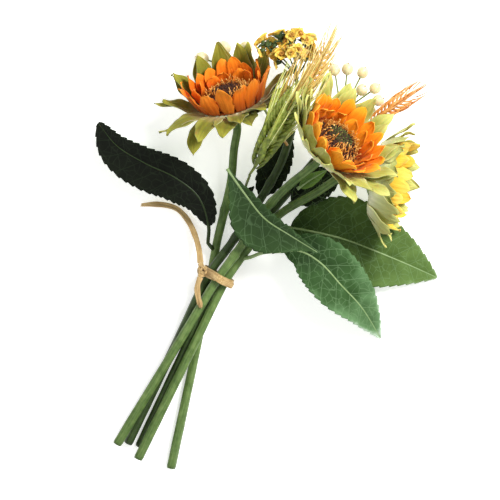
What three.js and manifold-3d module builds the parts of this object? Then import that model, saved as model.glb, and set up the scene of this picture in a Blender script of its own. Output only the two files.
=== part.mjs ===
// A tied bunch of three artificial sunflowers with filler sprays, lying on its back on a flat surface.
// X runs across the bunch, Y from the cut stem ends to the flowers, Z up. Sizes are in millimetres.
// Each flower is a stack of die-cut fabric rings threaded on a moulded stem, so each ring is one piece.

import * as THREE from 'three';
import { mergeVertices } from 'three/addons/utils/BufferGeometryUtils.js';
import Module from 'manifold-3d';

const wasm = await Module();
wasm.setup();

// Stems: moulded tubes, cut straight across at the bottom.
const stemDiameter = 6.8;
const stemClearance = 0.55;
const stemSides = 8;
const cutLength = 140;

// Tie: the point where the stems cross, and the raffia around them.
const tieCentre = new THREE.Vector2(-24, -19.4);
const bundleAcross = new THREE.Vector2(0.9, -0.43).normalize();
const bundleDown = new THREE.Vector2(-0.405, -0.914).normalize();
const bandWidth = 7;
const bandThickness = 1.2;
const bandClearance = 0.5;
const raffiaWidth = 5;
const raffiaThickness = 0.9;

// Flower heads: two rings of sepals and two rings of petals, each on a flat hub, and a domed disc.
const sepalHubRadius = 25.5;
const innerSepalHubRadius = 24.7;
const petalHubRadius = 24;
const innerPetalHubRadius = 21.2;
const discRadius = 18.5;
const sepalLength = 32;
const innerSepalLength = 26;
const petalLength = 24;
const innerPetalLength = 16;
const ringPitch = 1.15;
const fabricThickness = 0.5;
const discHeight = 10;
const calyxHeight = 10;
const calyxRadius = 14;
const joinGap = 0.35;

// Degrees that an inner ring closes over the outer one of its kind, at the base and the tip.
const innerSepalClosing = [7, 10];
const innerPetalClosing = [7, 6];

// Leaves and fillers.
const leafThickness = 0.7;
const bladeBelly = 0.72;
const petioleWidth = 1.3;
const wireDiameter = 1.6;
const knuckleRadius = 2.2;
const blossomRadius = 4.6;
const earStalkRadius = 1;

const colours = {
  stem: 0x7c945d, leaf: 0x57734b, leafDark: 0x2a3a1c, sepal: 0x837624,
  orange: 0xd9690f, yellow: 0xfcdc3f, disc: 0x4a2410,
  earGreen: 0x919d43, earGold: 0xb0964a, earBrown: 0xde994b,
  berry: 0xdac989, blossom: 0xe8b93a, raffia: 0xb49a6c, wire: 0x38491d,
};

const bunch = new THREE.Group();

function finish(colour, roughness) {
  return new THREE.MeshStandardMaterial({ color: colour, roughness, metalness: 0 });
}

function vec(point) {
  return new THREE.Vector3(...point);
}

function add(parent, name, geometry, colour, roughness = 0.7) {
  const mesh = new THREE.Mesh(geometry, finish(colour, roughness));
  mesh.name = name;
  parent.add(mesh);
  return mesh;
}

// A repeatable number from -1 to 1 for each whole number.
function vary(seed) {
  const wave = Math.sin(seed * 12.9898) * 43758.5453;
  return 2 * (wave - Math.floor(wave)) - 1;
}

function geometryFrom(points, faces) {
  const geometry = new THREE.BufferGeometry();
  const numbers = points.flatMap((p) => p.toArray());
  geometry.setAttribute('position', new THREE.Float32BufferAttribute(numbers, 3));
  geometry.setIndex(faces.flat());
  return geometry;
}

// Gives a surface of triangles a thickness, half on each side, and walls along its open edges.
function thicken(points, faces, thickness) {
  const normals = points.map(() => new THREE.Vector3());
  for (const [a, b, c] of faces) {
    const u = points[b].clone().sub(points[a]);
    const v = points[c].clone().sub(points[a]);
    const normal = u.cross(v);
    for (const corner of [a, b, c]) normals[corner].add(normal);
  }
  const half = (i) => (typeof thickness === 'function' ? thickness(i) : thickness) / 2;
  const count = points.length;
  const top = points.map((p, i) => p.clone().addScaledVector(normals[i].normalize(), half(i)));
  const bottom = points.map((p, i) => p.clone().addScaledVector(normals[i], -half(i)));
  const solid = [];
  const edges = new Set(faces.flatMap(([a, b, c]) => [`${a},${b}`, `${b},${c}`, `${c},${a}`]));
  for (const [a, b, c] of faces) {
    solid.push([a, b, c], [count + c, count + b, count + a]);
    for (const [from, to] of [[a, b], [b, c], [c, a]]) {
      if (edges.has(`${to},${from}`)) continue;
      solid.push([count + from, count + to, to], [count + from, to, from]);
    }
  }
  return geometryFrom([...top, ...bottom], solid);
}

// Triangles between rows of points. A last row of one point is a tip.
function rowFaces(rows) {
  const faces = [];
  for (let i = 0; i + 1 < rows.length; i += 1) {
    const near = rows[i];
    const far = rows[i + 1];
    for (let j = 0; j + 1 < near.length; j += 1) {
      if (far.length === 1) {
        faces.push([near[j], near[j + 1], far[0]]);
      } else {
        faces.push([near[j], near[j + 1], far[j + 1]], [near[j], far[j + 1], far[j]]);
      }
    }
  }
  return faces;
}

function curveThrough(points) {
  return new THREE.CatmullRomCurve3(points, false, 'centripetal');
}

function tube(points, radius, sides, steps) {
  const section = new THREE.Shape();
  for (let i = 0; i < sides; i += 1) {
    const angle = (2 * Math.PI * i) / sides;
    const [x, y] = [radius * Math.cos(angle), radius * Math.sin(angle)];
    if (i === 0) section.moveTo(x, y);
    else section.lineTo(x, y);
  }
  const extrudePath = curveThrough(points);
  return new THREE.ExtrudeGeometry(section, { steps, bevelEnabled: false, extrudePath });
}

function toSolid(geometry) {
  const bare = geometry.clone();
  bare.deleteAttribute('normal');
  bare.deleteAttribute('uv');
  const merged = mergeVertices(bare, 1e-4);
  const vertProperties = new Float32Array(merged.attributes.position.array);
  const triVerts = new Uint32Array(merged.index.array);
  return new wasm.Manifold(new wasm.Mesh({ numProp: 3, vertProperties, triVerts }));
}

function fromSolid(solid) {
  const mesh = solid.getMesh();
  const geometry = new THREE.BufferGeometry();
  geometry.setAttribute('position', new THREE.Float32BufferAttribute(mesh.vertProperties, 3));
  geometry.setIndex(Array.from(mesh.triVerts));
  return geometry;
}

function join(geometries) {
  return fromSolid(geometries.map(toSolid).reduce((whole, piece) => whole.add(piece)));
}

// Flower heads. Inside a head +Z is the way the flower faces and +X is the side towards the floor.
// sepalRise and petalRise give the rise of a base and a tip in degrees at eight places round the head,
// from the side towards the floor through the left and the top to the right. sepalReach gives the
// share of the full sepal length at the same places.
const heads = [
  {
    name: 'flower_left', centre: [-13, 103, 31], axis: [-0.22, 0.87, 0.44],
    petal: colours.orange, seed: 1,
    sepalRise: [[62, 84], [56, 76], [30, 24], [0, -36], [4, -16], [18, 46], [34, 54], [54, 74]],
    sepalReach: [1.16, 1.1, 1, 1.05, 0.7, 0.72, 0.9, 1.1],
    petalRise: [[84, 104], [76, 94], [60, 74], [60, 70], [62, 68], [60, 70], [60, 74], [76, 94]],
  },
  {
    name: 'flower_front', centre: [55, 70, 67], axis: [0.557, 0.598, 0.574],
    petal: colours.orange, seed: 5,
    sepalRise: [[60, 74], [48, 64], [46, 64], [44, 60], [34, 48], [14, 6], [32, 44], [56, 70]],
    sepalReach: [1.12, 1.06, 1, 0.95, 0.85, 0.9, 1, 1.1],
    petalRise: [[80, 92], [76, 90], [72, 84], [66, 76], [56, 64], [52, 60], [56, 66], [70, 84]],
  },
  {
    name: 'flower_right', centre: [88, 51, 32.5], axis: [0.96, -0.2, 0.12],
    petal: colours.yellow, seed: 9,
    sepalRise: [[76, 90], [56, 72], [40, 56], [62, 76], [68, 82], [58, 72], [34, 48], [54, 70]],
    sepalReach: [1, 1, 0.85, 0.55, 0.5, 0.75, 1, 1],
    petalRise: [[88, 97], [74, 82], [68, 76], [77, 86], [82, 90], [74, 84], [64, 74], [74, 82]],
  },
];

// The values at one place round the head, between the ones given at equal steps from the floor side.
function roundHead(corners, angle) {
  const count = corners.length;
  const turn = (((angle * count) / (2 * Math.PI)) % count + count) % count;
  const from = Math.floor(turn) % count;
  const share = (1 - Math.cos(Math.PI * (turn - from))) / 2;
  const to = corners[(from + 1) % count];
  return corners[from].map((value, k) => THREE.MathUtils.lerp(value, to[k], share));
}

// How far out and up a strip reaches that leaves at a base rise and bends evenly to a tip rise.
function bent([base, tip], length, along) {
  const steps = 24;
  let [out, up] = [0, 0];
  for (let k = 0; k < steps; k += 1) {
    const angle = THREE.MathUtils.degToRad(THREE.MathUtils.lerp(base, tip, ((k + 0.5) / steps) * along));
    out += ((length * along) / steps) * Math.cos(angle);
    up += ((length * along) / steps) * Math.sin(angle);
  }
  return [out, up];
}

// One die-cut ring: a flat hub and petals that leave its rim at a base rise and bend to a tip rise.
function petalRing({
  count, hub, length, reach = () => 1, fullness, widest, rise, seed, rows = 3, thickness = fabricThickness,
}) {
  const pitch = (2 * Math.PI) / count;
  const points = [new THREE.Vector3(0, 0, 0)];
  const faces = [];
  const around = (radius, angle, height) =>
    new THREE.Vector3(radius * Math.cos(angle), radius * Math.sin(angle), height);
  for (let i = 0; i < 2 * count; i += 1) {
    points.push(around(hub, (i - 1) * (pitch / 2), 0));
    faces.push([0, 1 + i, 1 + ((i + 1) % (2 * count))]);
  }
  for (let i = 0; i < count; i += 1) {
    const middle = i * pitch;
    const size = length * reach(middle) * (1 + 0.06 * vary(seed + 3.1 * i));
    const place = (angle, along) => {
      const [radius, height] = bent(rise(angle, i), size, along);
      return around(hub + radius, angle, height);
    };
    const grid = [[1 + ((2 * i + 2) % (2 * count)), 2 + 2 * i, 1 + 2 * i]];
    for (let row = 1; row < rows; row += 1) {
      const along = row / rows;
      const swell = Math.sin(Math.PI * along ** widest) ** 0.7;
      const radius = hub + bent(rise(middle, i), size, along)[0];
      const half = fullness * Math.min(pitch / 2, (0.5 * pitch * hub * (0.9 + 0.7 * swell)) / radius);
      grid.push([0, 1, 2].map((k) => points.length + k));
      for (const out of [half, 0, -half]) points.push(place(middle + out, along));
    }
    grid.push([points.length]);
    points.push(place(middle, 1));
    faces.push(...rowFaces(grid));
  }
  return thicken(points, faces, thickness);
}

function lathe(profile, segments) {
  const points = profile.map(([x, y]) => new THREE.Vector2(x, y));
  return new THREE.LatheGeometry(points, segments).rotateX(Math.PI / 2);
}

function headFrame(axis) {
  const face = vec(axis).normalize();
  const floorward = new THREE.Vector3(0, 0, -1).addScaledVector(face, face.z).normalize();
  const side = face.clone().cross(floorward);
  return { face, floorward, side };
}

function addHead({ name, centre, axis, petal, seed, sepalRise, sepalReach, petalRise }) {
  const { face, floorward, side } = headFrame(axis);
  const head = new THREE.Group();
  head.position.set(...centre);
  head.quaternion.setFromRotationMatrix(new THREE.Matrix4().makeBasis(floorward, side, face));
  bunch.add(head);

  const hubTop = -joinGap - fabricThickness / 2;
  const calyx = [
    [0, hubTop - calyxHeight], [stemDiameter / 2 + 0.6, hubTop - calyxHeight],
    [stemDiameter / 2 + 1.4, hubTop - calyxHeight * 0.6], [calyxRadius * 0.75, hubTop - calyxHeight * 0.25],
    [calyxRadius, hubTop], [0, hubTop],
  ];
  add(head, `${name}_calyx`, lathe(calyx, 12), colours.stem);

  const turned = (corners, angle, more, closing = [0, 0]) =>
    roundHead(corners, angle).map((rise, end) => rise + closing[end] + more);
  const reach = (angle) => roundHead(sepalReach.map((share) => [share]), angle)[0];
  const rings = [
    {
      label: 'sepals_outer', colour: colours.sepal, count: 13, hub: sepalHubRadius,
      length: sepalLength, reach, fullness: 0.92, widest: 0.8,
      rise: (angle, i) => turned(sepalRise, angle, 2 * vary(seed + i)),
    },
    {
      label: 'sepals_inner', colour: colours.sepal, count: 12, hub: innerSepalHubRadius,
      length: innerSepalLength, reach, fullness: 0.92, widest: 0.8,
      rise: (angle, i) => turned(sepalRise, angle, 1.5 * vary(seed + 2 * i), innerSepalClosing),
    },
    {
      label: 'petals_outer', colour: petal, count: 17, hub: petalHubRadius, length: petalLength,
      fullness: 0.9, widest: 0.95,
      rise: (angle, i) => turned(petalRise, angle, 1.5 * vary(seed + 4 * i)),
    },
    {
      label: 'petals_inner', colour: petal, count: 13, hub: innerPetalHubRadius, length: innerPetalLength,
      fullness: 0.88, widest: 0.95,
      rise: (angle, i) => turned(petalRise, angle, 1.5 * vary(seed + 5 * i), innerPetalClosing),
    },
  ];
  rings.forEach((ring, level) => {
    const geometry = petalRing({ ...ring, seed: seed + 20 * level });
    add(head, `${name}_${ring.label}`, geometry, ring.colour, 0.8).position.z = ringPitch * level;
  });

  const discBase = ringPitch * (rings.length - 1) + fabricThickness / 2 + joinGap;
  const dome = [
    [0, discBase], [discRadius, discBase], [discRadius, discBase + discHeight * 0.35],
    [discRadius * 0.82, discBase + discHeight * 0.8], [discRadius * 0.45, discBase + discHeight],
    [0, discBase + discHeight * 0.8],
  ];
  add(head, `${name}_disc`, lathe(dome, 16), colours.disc, 0.95);
}

// The point behind a head where its stem ends, and others further back along the flower's axis.
function behindHead(name, extra) {
  const { centre, axis } = heads.find((head) => head.name === name);
  const depth = calyxHeight + 2 * joinGap + fabricThickness / 2 + extra;
  return vec(centre).addScaledVector(vec(axis).normalize(), -depth);
}

// Stems cross in the tie. across and high are in stem pitches, and the floor height is half a stem.
const pitch = stemDiameter + stemClearance;
const onFloor = stemDiameter / 2;

function inBundle(down, across, height) {
  const place = tieCentre.clone().addScaledVector(bundleDown, down);
  place.addScaledVector(bundleAcross, across * pitch);
  return new THREE.Vector3(place.x, place.y, height);
}

const stems = [
  {
    name: 'stem_flower_left',
    bundle: [[1, 3.5, onFloor], [0.35, 0.87, onFloor + 0.3], [0, -0.63, 0.75 * pitch]],
    upper: [[-23.6, 7, 7.5], [-18, 30, 12], [-13.4, 51, 16], [-11.4, 72, 19]],
    head: 'flower_left',
  },
  {
    name: 'stem_flower_front',
    bundle: [[1, -2.3, 1.42 * pitch], [0.35, -0.68, 2.55 * pitch], [0, 0.19, 3.15 * pitch]],
    upper: [[-9.2, -1.4, 26.5], [3.5, 18.4, 30], [15.6, 33.9, 35], [28, 46, 42]],
    head: 'flower_front',
  },
  {
    name: 'stem_flower_right',
    bundle: [[1.02, 0.17, 1.8 * pitch], [0.35, 0.68, 2.22 * pitch], [0, 0.96, 2.43 * pitch]],
    upper: [[-6.4, -5.7, 18.5], [8.6, 12.9, 20], [23.6, 27.1, 22.5], [46, 40, 26]],
    head: 'flower_right',
  },
  {
    name: 'stem_blossoms',
    bundle: [[0.98, -1.35, onFloor], [0.35, -0.98, 1.39 * pitch], [0, -0.79, 1.8 * pitch]],
    upper: [[-14, 4, 14.5], [0, 25, 16.5], [11.5, 43, 17.5], [22.9, 64.4, 18.5], [30, 86, 19.5]],
  },
  {
    name: 'stem_berries',
    bundle: [[0.97, -0.2, onFloor], [0.35, 0.06, 1.43 * pitch], [0, 0.2, 1.57 * pitch]],
    upper: [[-7.2, 0, 9], [10.8, 21.6, 8.5], [28.8, 43.2, 8], [46.8, 64.8, 8]],
  },
];

function stemPoints({ bundle, upper, head }) {
  const points = bundle.map(([share, across, height]) => inBundle(share * cutLength, across, height));
  points.push(...upper.map(vec));
  if (head) points.push(behindHead(head, 7), behindHead(head, 0));
  return points;
}

// A leaf along a route. facing is the side that the top of the blade looks to, at its base and tip.
const leaves = [
  {
    name: 'leaf_left',
    route: [
      [-30.5, 5, 10], [-30, 18, 14], [-37, 38, 18], [-54, 52, 19], [-75, 62, 18], [-96, 75, 14],
      [-110, 92, 8],
    ],
    halfWidth: 18, sides: [0.75, 1], belly: [0.8, 1.5], petiole: 0.1,
    facing: [[-0.3, -0.1, 1], [-0.4, -0.2, 1]], fold: 0.1, colour: colours.leafDark,
  },
  {
    name: 'leaf_front', route: [[-16, 57, 43], [-4, 40, 45], [10.5, 22, 44.5], [27, 11, 46], [47, -1.4, 49]],
    halfWidth: 13, sides: [1.55, 0.45], petiole: 0, facing: [[0.2, 0.2, 1], [0, 0.3, 1]], fold: -0.22,
    colour: colours.leaf,
  },
  {
    name: 'leaf_lower_right',
    route: [
      [1, -5, 22.5], [9, -2, 25], [22, -1, 26], [36, -1, 27], [50, -9, 27], [65, -25, 24], [80, -41, 17],
      [95, -64, 3],
    ],
    halfWidth: 20, petiole: 0.19, facing: [[0, 0, 1], [0.3, 0, 1]], fold: 0.12, colour: colours.leaf,
  },
  {
    name: 'leaf_right', route: [[22, 17, 14], [36, 15, 13.5], [67, 8, 11], [106, -7, 7], [136, -20, 2.5]],
    halfWidth: 31, petiole: 0.06, facing: [[0, 0, 1], [0, 0, 1]], fold: 0.03, colour: colours.leaf,
  },
  {
    name: 'leaf_under_stems', route: [[28, 33, 15.5], [45, 45, 16.5], [72, 62, 13.5]],
    halfWidth: 12, petiole: 0.05, facing: [[0, 0, 1], [0, 0, 1]], fold: 0.05, colour: colours.leafDark,
  },
  {
    name: 'leaf_behind', route: [[6, 36, 9.5], [19, 62, 9.5], [30, 92, 5]],
    halfWidth: 11, petiole: 0.05, facing: [[0, 0, 1], [0, 0, 1]], fold: 0.05, colour: colours.leafDark,
  },
  {
    name: 'leaf_small', route: [[33.5, 43, 33.5], [42, 49, 35], [54, 56, 38]],
    halfWidth: 4.5, petiole: 0.08, facing: [[0.2, -0.3, 1], [0.2, -0.3, 1]], fold: 0.1, colour: colours.leaf,
  },
  {
    name: 'leaf_sliver', route: [[-11.5, 22, 14], [-8, 34, 15], [3, 46, 11]],
    halfWidth: 5, petiole: 0.08, facing: [[0, 0, 1], [0, 0, 1]], fold: 0.05, colour: colours.leafDark,
  },
];

function leafSolid({
  route, halfWidth, sides = [1, 1], belly = [bladeBelly, bladeBelly], petiole, facing, fold,
}) {
  const curve = curveThrough(route.map(vec));
  const steps = 10;
  const points = [];
  const rows = [];
  const stalkPoints = new Set();
  for (let i = 0; i <= steps; i += 1) {
    const along = i / steps;
    const centre = curve.getPoint(along);
    const blade = (along - petiole) / (1 - petiole);
    const double = petiole === 0;
    if (i === steps || (double && i === 0)) {
      rows.push([points.length]);
      points.push(centre);
      continue;
    }
    const look = vec(facing[0]).lerp(vec(facing[1]), along);
    const tangent = curve.getTangent(along);
    const side = look.clone().cross(tangent).normalize();
    const up = tangent.clone().cross(side);
    const halves = sides.map((share, k) => {
      const swell = blade <= 0 ? 0 : Math.sin(Math.PI * blade ** (double ? 1 : belly[k])) ** 0.85;
      return Math.max(petioleWidth, share * halfWidth * swell);
    });
    const row = [];
    for (let j = -2; j <= 2; j += 1) {
      const out = (j / 2) * halves[j < 0 ? 1 : 0];
      const lift = blade <= 0 ? 0 : fold * Math.abs(out);
      if (blade <= 0) stalkPoints.add(points.length);
      row.push(points.length);
      points.push(centre.clone().addScaledVector(side, -out).addScaledVector(up, lift));
    }
    rows.push(row);
  }
  const faces = [];
  if (rows[0].length === 1) {
    const [tip] = rows.shift();
    for (let j = 0; j + 1 < rows[0].length; j += 1) faces.push([tip, rows[0][j + 1], rows[0][j]]);
  }
  faces.push(...rowFaces(rows));
  return thicken(points, faces, (i) => (stalkPoints.has(i) ? 2 * petioleWidth : leafThickness));
}

// Cereal ears: a spindle of grain on a wire stalk, which bends down past the ear's base to a stem.
const ears = [
  {
    name: 'ear_green', from: [3, 57, 58], to: [35, 113, 76],
    bend: [[0, 53, 52], [-0.5, 51.5, 43], [-3, 45, 33], [-4.5, 35, 26], [-2, 25.5, 22]], radius: 8,
    colour: colours.earGreen,
  },
  {
    name: 'ear_gold', from: [31, 96, 47], to: [56, 146, 50],
    bend: [[26, 86, 43], [24, 79, 35], [26.5, 75, 24.5]], radius: 5, colour: colours.earGold,
  },
  {
    name: 'ear_brown', from: [84, 90, 36], to: [116, 111, 42],
    bend: [[77, 85.5, 33.5], [66, 79, 27], [55, 72, 18], [46, 64.5, 13.5]], radius: 4.5,
    colour: colours.earBrown,
  },
];

function earSolid({ from, to, bend, radius }) {
  const start = vec(from);
  const axis = vec(to).sub(start);
  const length = axis.length();
  const profile = [
    [0, 0], [earStalkRadius, 0], [radius * 0.8, length * 0.12], [radius, length * 0.35],
    [radius * 0.8, length * 0.65], [radius * 0.4, length * 0.9], [0, length],
  ];
  const spindle = lathe(profile, 10);
  const up = new THREE.Vector3(0, 0, 1);
  spindle.applyQuaternion(new THREE.Quaternion().setFromUnitVectors(up, axis.clone().normalize()));
  spindle.translate(...from);
  const into = start.clone().addScaledVector(axis, 0.1);
  const stalk = [into, start, ...bend.map(vec)];
  return join([spindle, tube(stalk, earStalkRadius, 6, 4 * bend.length)]);
}

// Sprays: wires that fork from a stem, each with a berry or a blossom on its end.
const sprays = [
  {
    name: 'berry_spray_left', label: 'berry_left', kind: 'berry', radius: 5, colour: colours.berry,
    root: [14, 96, 5.5],
    fork: [-6, 130, 4.9],
    ends: [[-35, 139, 5.1], [-18.5, 147, 5.1], [-3, 146.5, 5.1]],
  },
  {
    name: 'berry_spray_right', label: 'berry_right', kind: 'berry', radius: 4.3, colour: colours.berry,
    root: [55, 75, 9],
    fork: [66, 98, 18],
    ends: [
      [60, 128, 30], [69, 128, 35], [80, 126, 31], [89, 115, 29], [79, 113, 37], [86, 99, 22], [70, 104, 35],
      [91, 106, 33],
    ],
  },
  {
    name: 'blossom_spray', label: 'blossom', kind: 'blossom', radius: blossomRadius, colour: colours.blossom,
    root: [31.5, 90, 20],
    fork: [33, 122, 44],
    ends: [
      [9, 147, 36], [20, 151, 40], [31, 152, 43], [41, 149, 35], [30, 140, 49], [20, 138, 45], [42, 138, 33],
    ],
  },
];

function berrySolid(radius) {
  return new THREE.IcosahedronGeometry(radius, 1);
}

function blossomSolid(radius, seed) {
  return petalRing({
    count: 5, hub: radius * 0.35, length: radius * 0.9, fullness: 0.9, widest: 0.8, rows: 2, seed,
    rise: () => [20, 50], thickness: 0.9,
  });
}

function addSpray({ name, label, root, kind, radius, colour, fork, ends }) {
  const forkPoint = vec(fork);
  const wireRadius = wireDiameter / 2;
  const back = kind === 'berry' ? radius : 0.45;
  const knuckle = new THREE.IcosahedronGeometry(knuckleRadius, 1).translate(...fork);
  const trunk = tube([vec(root), vec(root).lerp(forkPoint, 0.5), forkPoint], wireRadius, 5, 2);
  const wires = [knuckle, trunk];
  ends.forEach((end, i) => {
    const centre = vec(end);
    const toward = centre.clone().sub(forkPoint).normalize();
    const stop = centre.clone().addScaledVector(toward, -back - joinGap);
    wires.push(tube([forkPoint, stop], wireRadius, 5, 1));
    const geometry = kind === 'berry' ? berrySolid(radius) : blossomSolid(radius, i);
    const mesh = add(bunch, `${label}_${i + 1}`, geometry, colour, 0.6);
    mesh.quaternion.setFromUnitVectors(new THREE.Vector3(0, 0, 1), toward);
    mesh.position.copy(centre);
  });
  add(bunch, name, join(wires), colours.wire);
}

// The raffia band follows the outline of the five stems, a clearance outside them.
function bandSolid(routes) {
  const along = new THREE.Vector3(-bundleDown.x, -bundleDown.y, 0);
  const up = new THREE.Vector3(0, 0, 1);
  const across = along.clone().cross(up);
  const origin = new THREE.Vector3(tieCentre.x, tieCentre.y, 0);
  const centres = [];
  for (const route of routes) {
    for (let i = 0; i <= 400; i += 1) {
      const offset = route.getPoint(i / 400).sub(origin);
      if (Math.abs(offset.dot(along)) >= bandWidth / 2 + 1) continue;
      centres.push([offset.dot(across), offset.dot(up)]);
    }
  }
  const outline = (margin, kind) => {
    const ring = [];
    for (let i = 0; i < 24; i += 1) {
      const angle = (2 * Math.PI * i) / 24;
      const [c, s] = [Math.cos(angle), Math.sin(angle)];
      const best = centres.reduce((a, b) => (a[0] * c + a[1] * s > b[0] * c + b[1] * s ? a : b));
      ring.push(new THREE.Vector2(best[0] + margin * c, best[1] + margin * s));
    }
    return new kind(ring);
  };
  const inner = stemDiameter / 2 + bandClearance;
  const section = outline(inner + bandThickness, THREE.Shape);
  section.holes.push(outline(inner, THREE.Path));
  const band = new THREE.ExtrudeGeometry(section, { depth: bandWidth, bevelEnabled: false });
  band.translate(0, 0, -bandWidth / 2);
  band.applyMatrix4(new THREE.Matrix4().makeBasis(across, up, across.clone().cross(up)));
  return band.translate(origin.x, origin.y, 0);
}

// A flat strip of raffia that follows a route and lies face up.
function ribbon(route, steps) {
  const curve = curveThrough(route);
  const points = [];
  const rows = [];
  for (let i = 0; i <= steps; i += 1) {
    const side = new THREE.Vector3(0, 0, 1).cross(curve.getTangent(i / steps)).setLength(raffiaWidth / 2);
    const centre = curve.getPoint(i / steps);
    rows.push([points.length, points.length + 1]);
    points.push(centre.clone().add(side), centre.clone().sub(side));
  }
  return thicken(points, rowFaces(rows), raffiaThickness);
}

const knotRadius = 3.6;
const knotShare = 0.3;

// The knot sits against the band, on its side between the blossom stem and the front flower's stem.
function knotPlace() {
  const [low, high] = ['stem_blossoms', 'stem_flower_front'].map((name) =>
    inBundle(...stems.find((stem) => stem.name === name).bundle[2]));
  const outward = new THREE.Vector3(bundleDown.x, bundleDown.y, 0).cross(high.clone().sub(low));
  outward.setLength(stemDiameter / 2 + bandClearance + bandThickness + knotRadius + joinGap);
  return low.lerp(high, knotShare).add(outward);
}

const longTail = [
  [-35.5, -9, 20], [-36.5, -1, 13.5], [-38.5, 7, 8.5], [-42, 16, 5.5], [-47, 24, 4], [-53.5, 30, 3],
  [-61, 32.5, 2.5], [-70, 33.3, 2], [-79, 32.8, 1.6],
];
const shortTail = [
  [5, -1.43, 3.27 * pitch], [11.8, -1.32, 3.61 * pitch], [17.9, -0.87, 3.61 * pitch],
  [24.2, -0.18, 3.47 * pitch],
].map(([down, across, height]) => inBundle(down, across, height));

heads.forEach(addHead);
const stemRoutes = stems.map((stem) => {
  const points = stemPoints(stem);
  add(bunch, stem.name, tube(points, stemDiameter / 2, stemSides, 3 * points.length), colours.stem, 0.5);
  return curveThrough(points);
});
for (const leaf of leaves) add(bunch, leaf.name, leafSolid(leaf), leaf.colour);
for (const ear of ears) add(bunch, ear.name, earSolid(ear), ear.colour);
sprays.forEach(addSpray);
add(bunch, 'raffia_band', bandSolid(stemRoutes), colours.raffia, 0.9);
const knot = add(bunch, 'raffia_knot', berrySolid(knotRadius), colours.raffia, 0.9);
knot.position.copy(knotPlace());
add(bunch, 'raffia_tail_long', ribbon(longTail.map(vec), 20), colours.raffia, 0.9);
add(bunch, 'raffia_tail_short', ribbon(shortTail, 8), colours.raffia, 0.9);

// The origin is under the middle of the bunch, on the surface it lies on.
const extent = new THREE.Box3().setFromObject(bunch, true);
const middle = extent.getCenter(new THREE.Vector3());
bunch.position.set(-middle.x, -middle.y, -extent.min.z);

export default bunch;
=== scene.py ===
import math
import random

import bpy
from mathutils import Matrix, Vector, noise


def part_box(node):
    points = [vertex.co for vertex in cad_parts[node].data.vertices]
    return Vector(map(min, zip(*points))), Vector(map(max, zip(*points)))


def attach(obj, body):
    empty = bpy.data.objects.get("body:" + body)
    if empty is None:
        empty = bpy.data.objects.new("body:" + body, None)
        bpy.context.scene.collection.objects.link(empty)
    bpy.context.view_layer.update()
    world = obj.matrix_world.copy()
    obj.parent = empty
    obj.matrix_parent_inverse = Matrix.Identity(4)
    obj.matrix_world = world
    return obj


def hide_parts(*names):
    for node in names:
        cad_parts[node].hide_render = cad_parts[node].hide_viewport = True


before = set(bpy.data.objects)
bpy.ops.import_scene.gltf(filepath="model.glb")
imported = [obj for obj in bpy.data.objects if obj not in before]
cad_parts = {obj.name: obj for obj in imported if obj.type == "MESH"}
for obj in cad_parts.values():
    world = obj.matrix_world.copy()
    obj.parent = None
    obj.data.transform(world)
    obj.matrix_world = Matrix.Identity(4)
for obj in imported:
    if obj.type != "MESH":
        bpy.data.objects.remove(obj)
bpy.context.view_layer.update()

print("frame loaded:", len(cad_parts), "nodes")

# Routes and places are in millimetres, measured from where the stems' layout was drawn.
# A berry's centre is known in that layout, so its box gives the step to the frame.
layout = {
    "knownNode": "berry_left_1",
    "knownPlace": (-35, 139, 5.1),
}
knownLow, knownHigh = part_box(layout["knownNode"])
layoutShift = (knownLow + knownHigh) * 500 - Vector(layout["knownPlace"])


def place(point):
    return (Vector(point) + layoutShift) / 1000


def srgb(code):
    parts = [int(code[i:i + 2], 16) / 255 for i in (1, 3, 5)]
    return tuple(c / 12.92 if c <= 0.04045 else ((c + 0.055) / 1.055) ** 2.4 for c in parts) + (1.0,)


# camera and light first, because everything is judged from there
view = {
    "above": (0, 0, 1200),     # the camera hangs straight over the layout's middle, in mm
    "frameWidth": 355,         # what the picture takes in, mm, at the height below
    "atHeight": 30,
}
camera = bpy.data.objects.new("camera", bpy.data.cameras.new("camera"))
bpy.context.collection.objects.link(camera)
camera.location = place(view["above"])
distance = view["above"][2] - view["atHeight"]
camera.data.angle = 2 * math.atan(view["frameWidth"] / 2 / distance)
camera.data.clip_start = 0.01
bpy.context.scene.camera = camera

studio = {
    "worldColour": "#ffffff",
    "worldStrength": 0.34,
    # name, place in mm, size in mm, watts
    "lamps": [
        ("key_light", (420, 380, 700), 300, 9.5),
        ("fill_light", (-520, 60, 760), 600, 1.6),
        ("low_light", (60, -560, 520), 500, 1.0),
    ],
}
scene = bpy.context.scene
scene.view_settings.view_transform = "Standard"
scene.world = bpy.data.worlds.new("studio")
scene.world.use_nodes = True
scene.world.node_tree.nodes["Background"].inputs[0].default_value = srgb(studio["worldColour"])
scene.world.node_tree.nodes["Background"].inputs[1].default_value = studio["worldStrength"]
for lampName, lampPlace, lampSize, lampWatts in studio["lamps"]:
    lamp = bpy.data.objects.new(lampName, bpy.data.lights.new(lampName, "AREA"))
    bpy.context.collection.objects.link(lamp)
    lamp.location = place(lampPlace)
    lamp.rotation_euler = (place((10, 20, 30)) - lamp.location).to_track_quat("-Z", "Y").to_euler()
    lamp.data.size = lampSize / 1000
    lamp.data.energy = lampWatts

# materials
def setInputs(tree, node, inputs):
    for key, value in inputs.items():
        if isinstance(value, bpy.types.NodeSocket):
            tree.links.new(value, node.inputs[key])
        else:
            node.inputs[key].default_value = value


def addNode(tree, kind, settings=None, inputs=None, output=None):
    # a shader node with its settings and links; output asks for one of its sockets instead
    made = tree.nodes.new("ShaderNode" + kind)
    for key, value in (settings or {}).items():
        if key != "stops":
            setattr(made, key, value)
            continue
        points = made.color_ramp.elements
        while len(points) < len(value[0]):
            points.new(0.5)
        for point, at, colour in zip(points, *value):
            point.position = at
            point.color = srgb(colour)
    setInputs(tree, made, inputs or {})
    return made if output is None else made.outputs[output]


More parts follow.
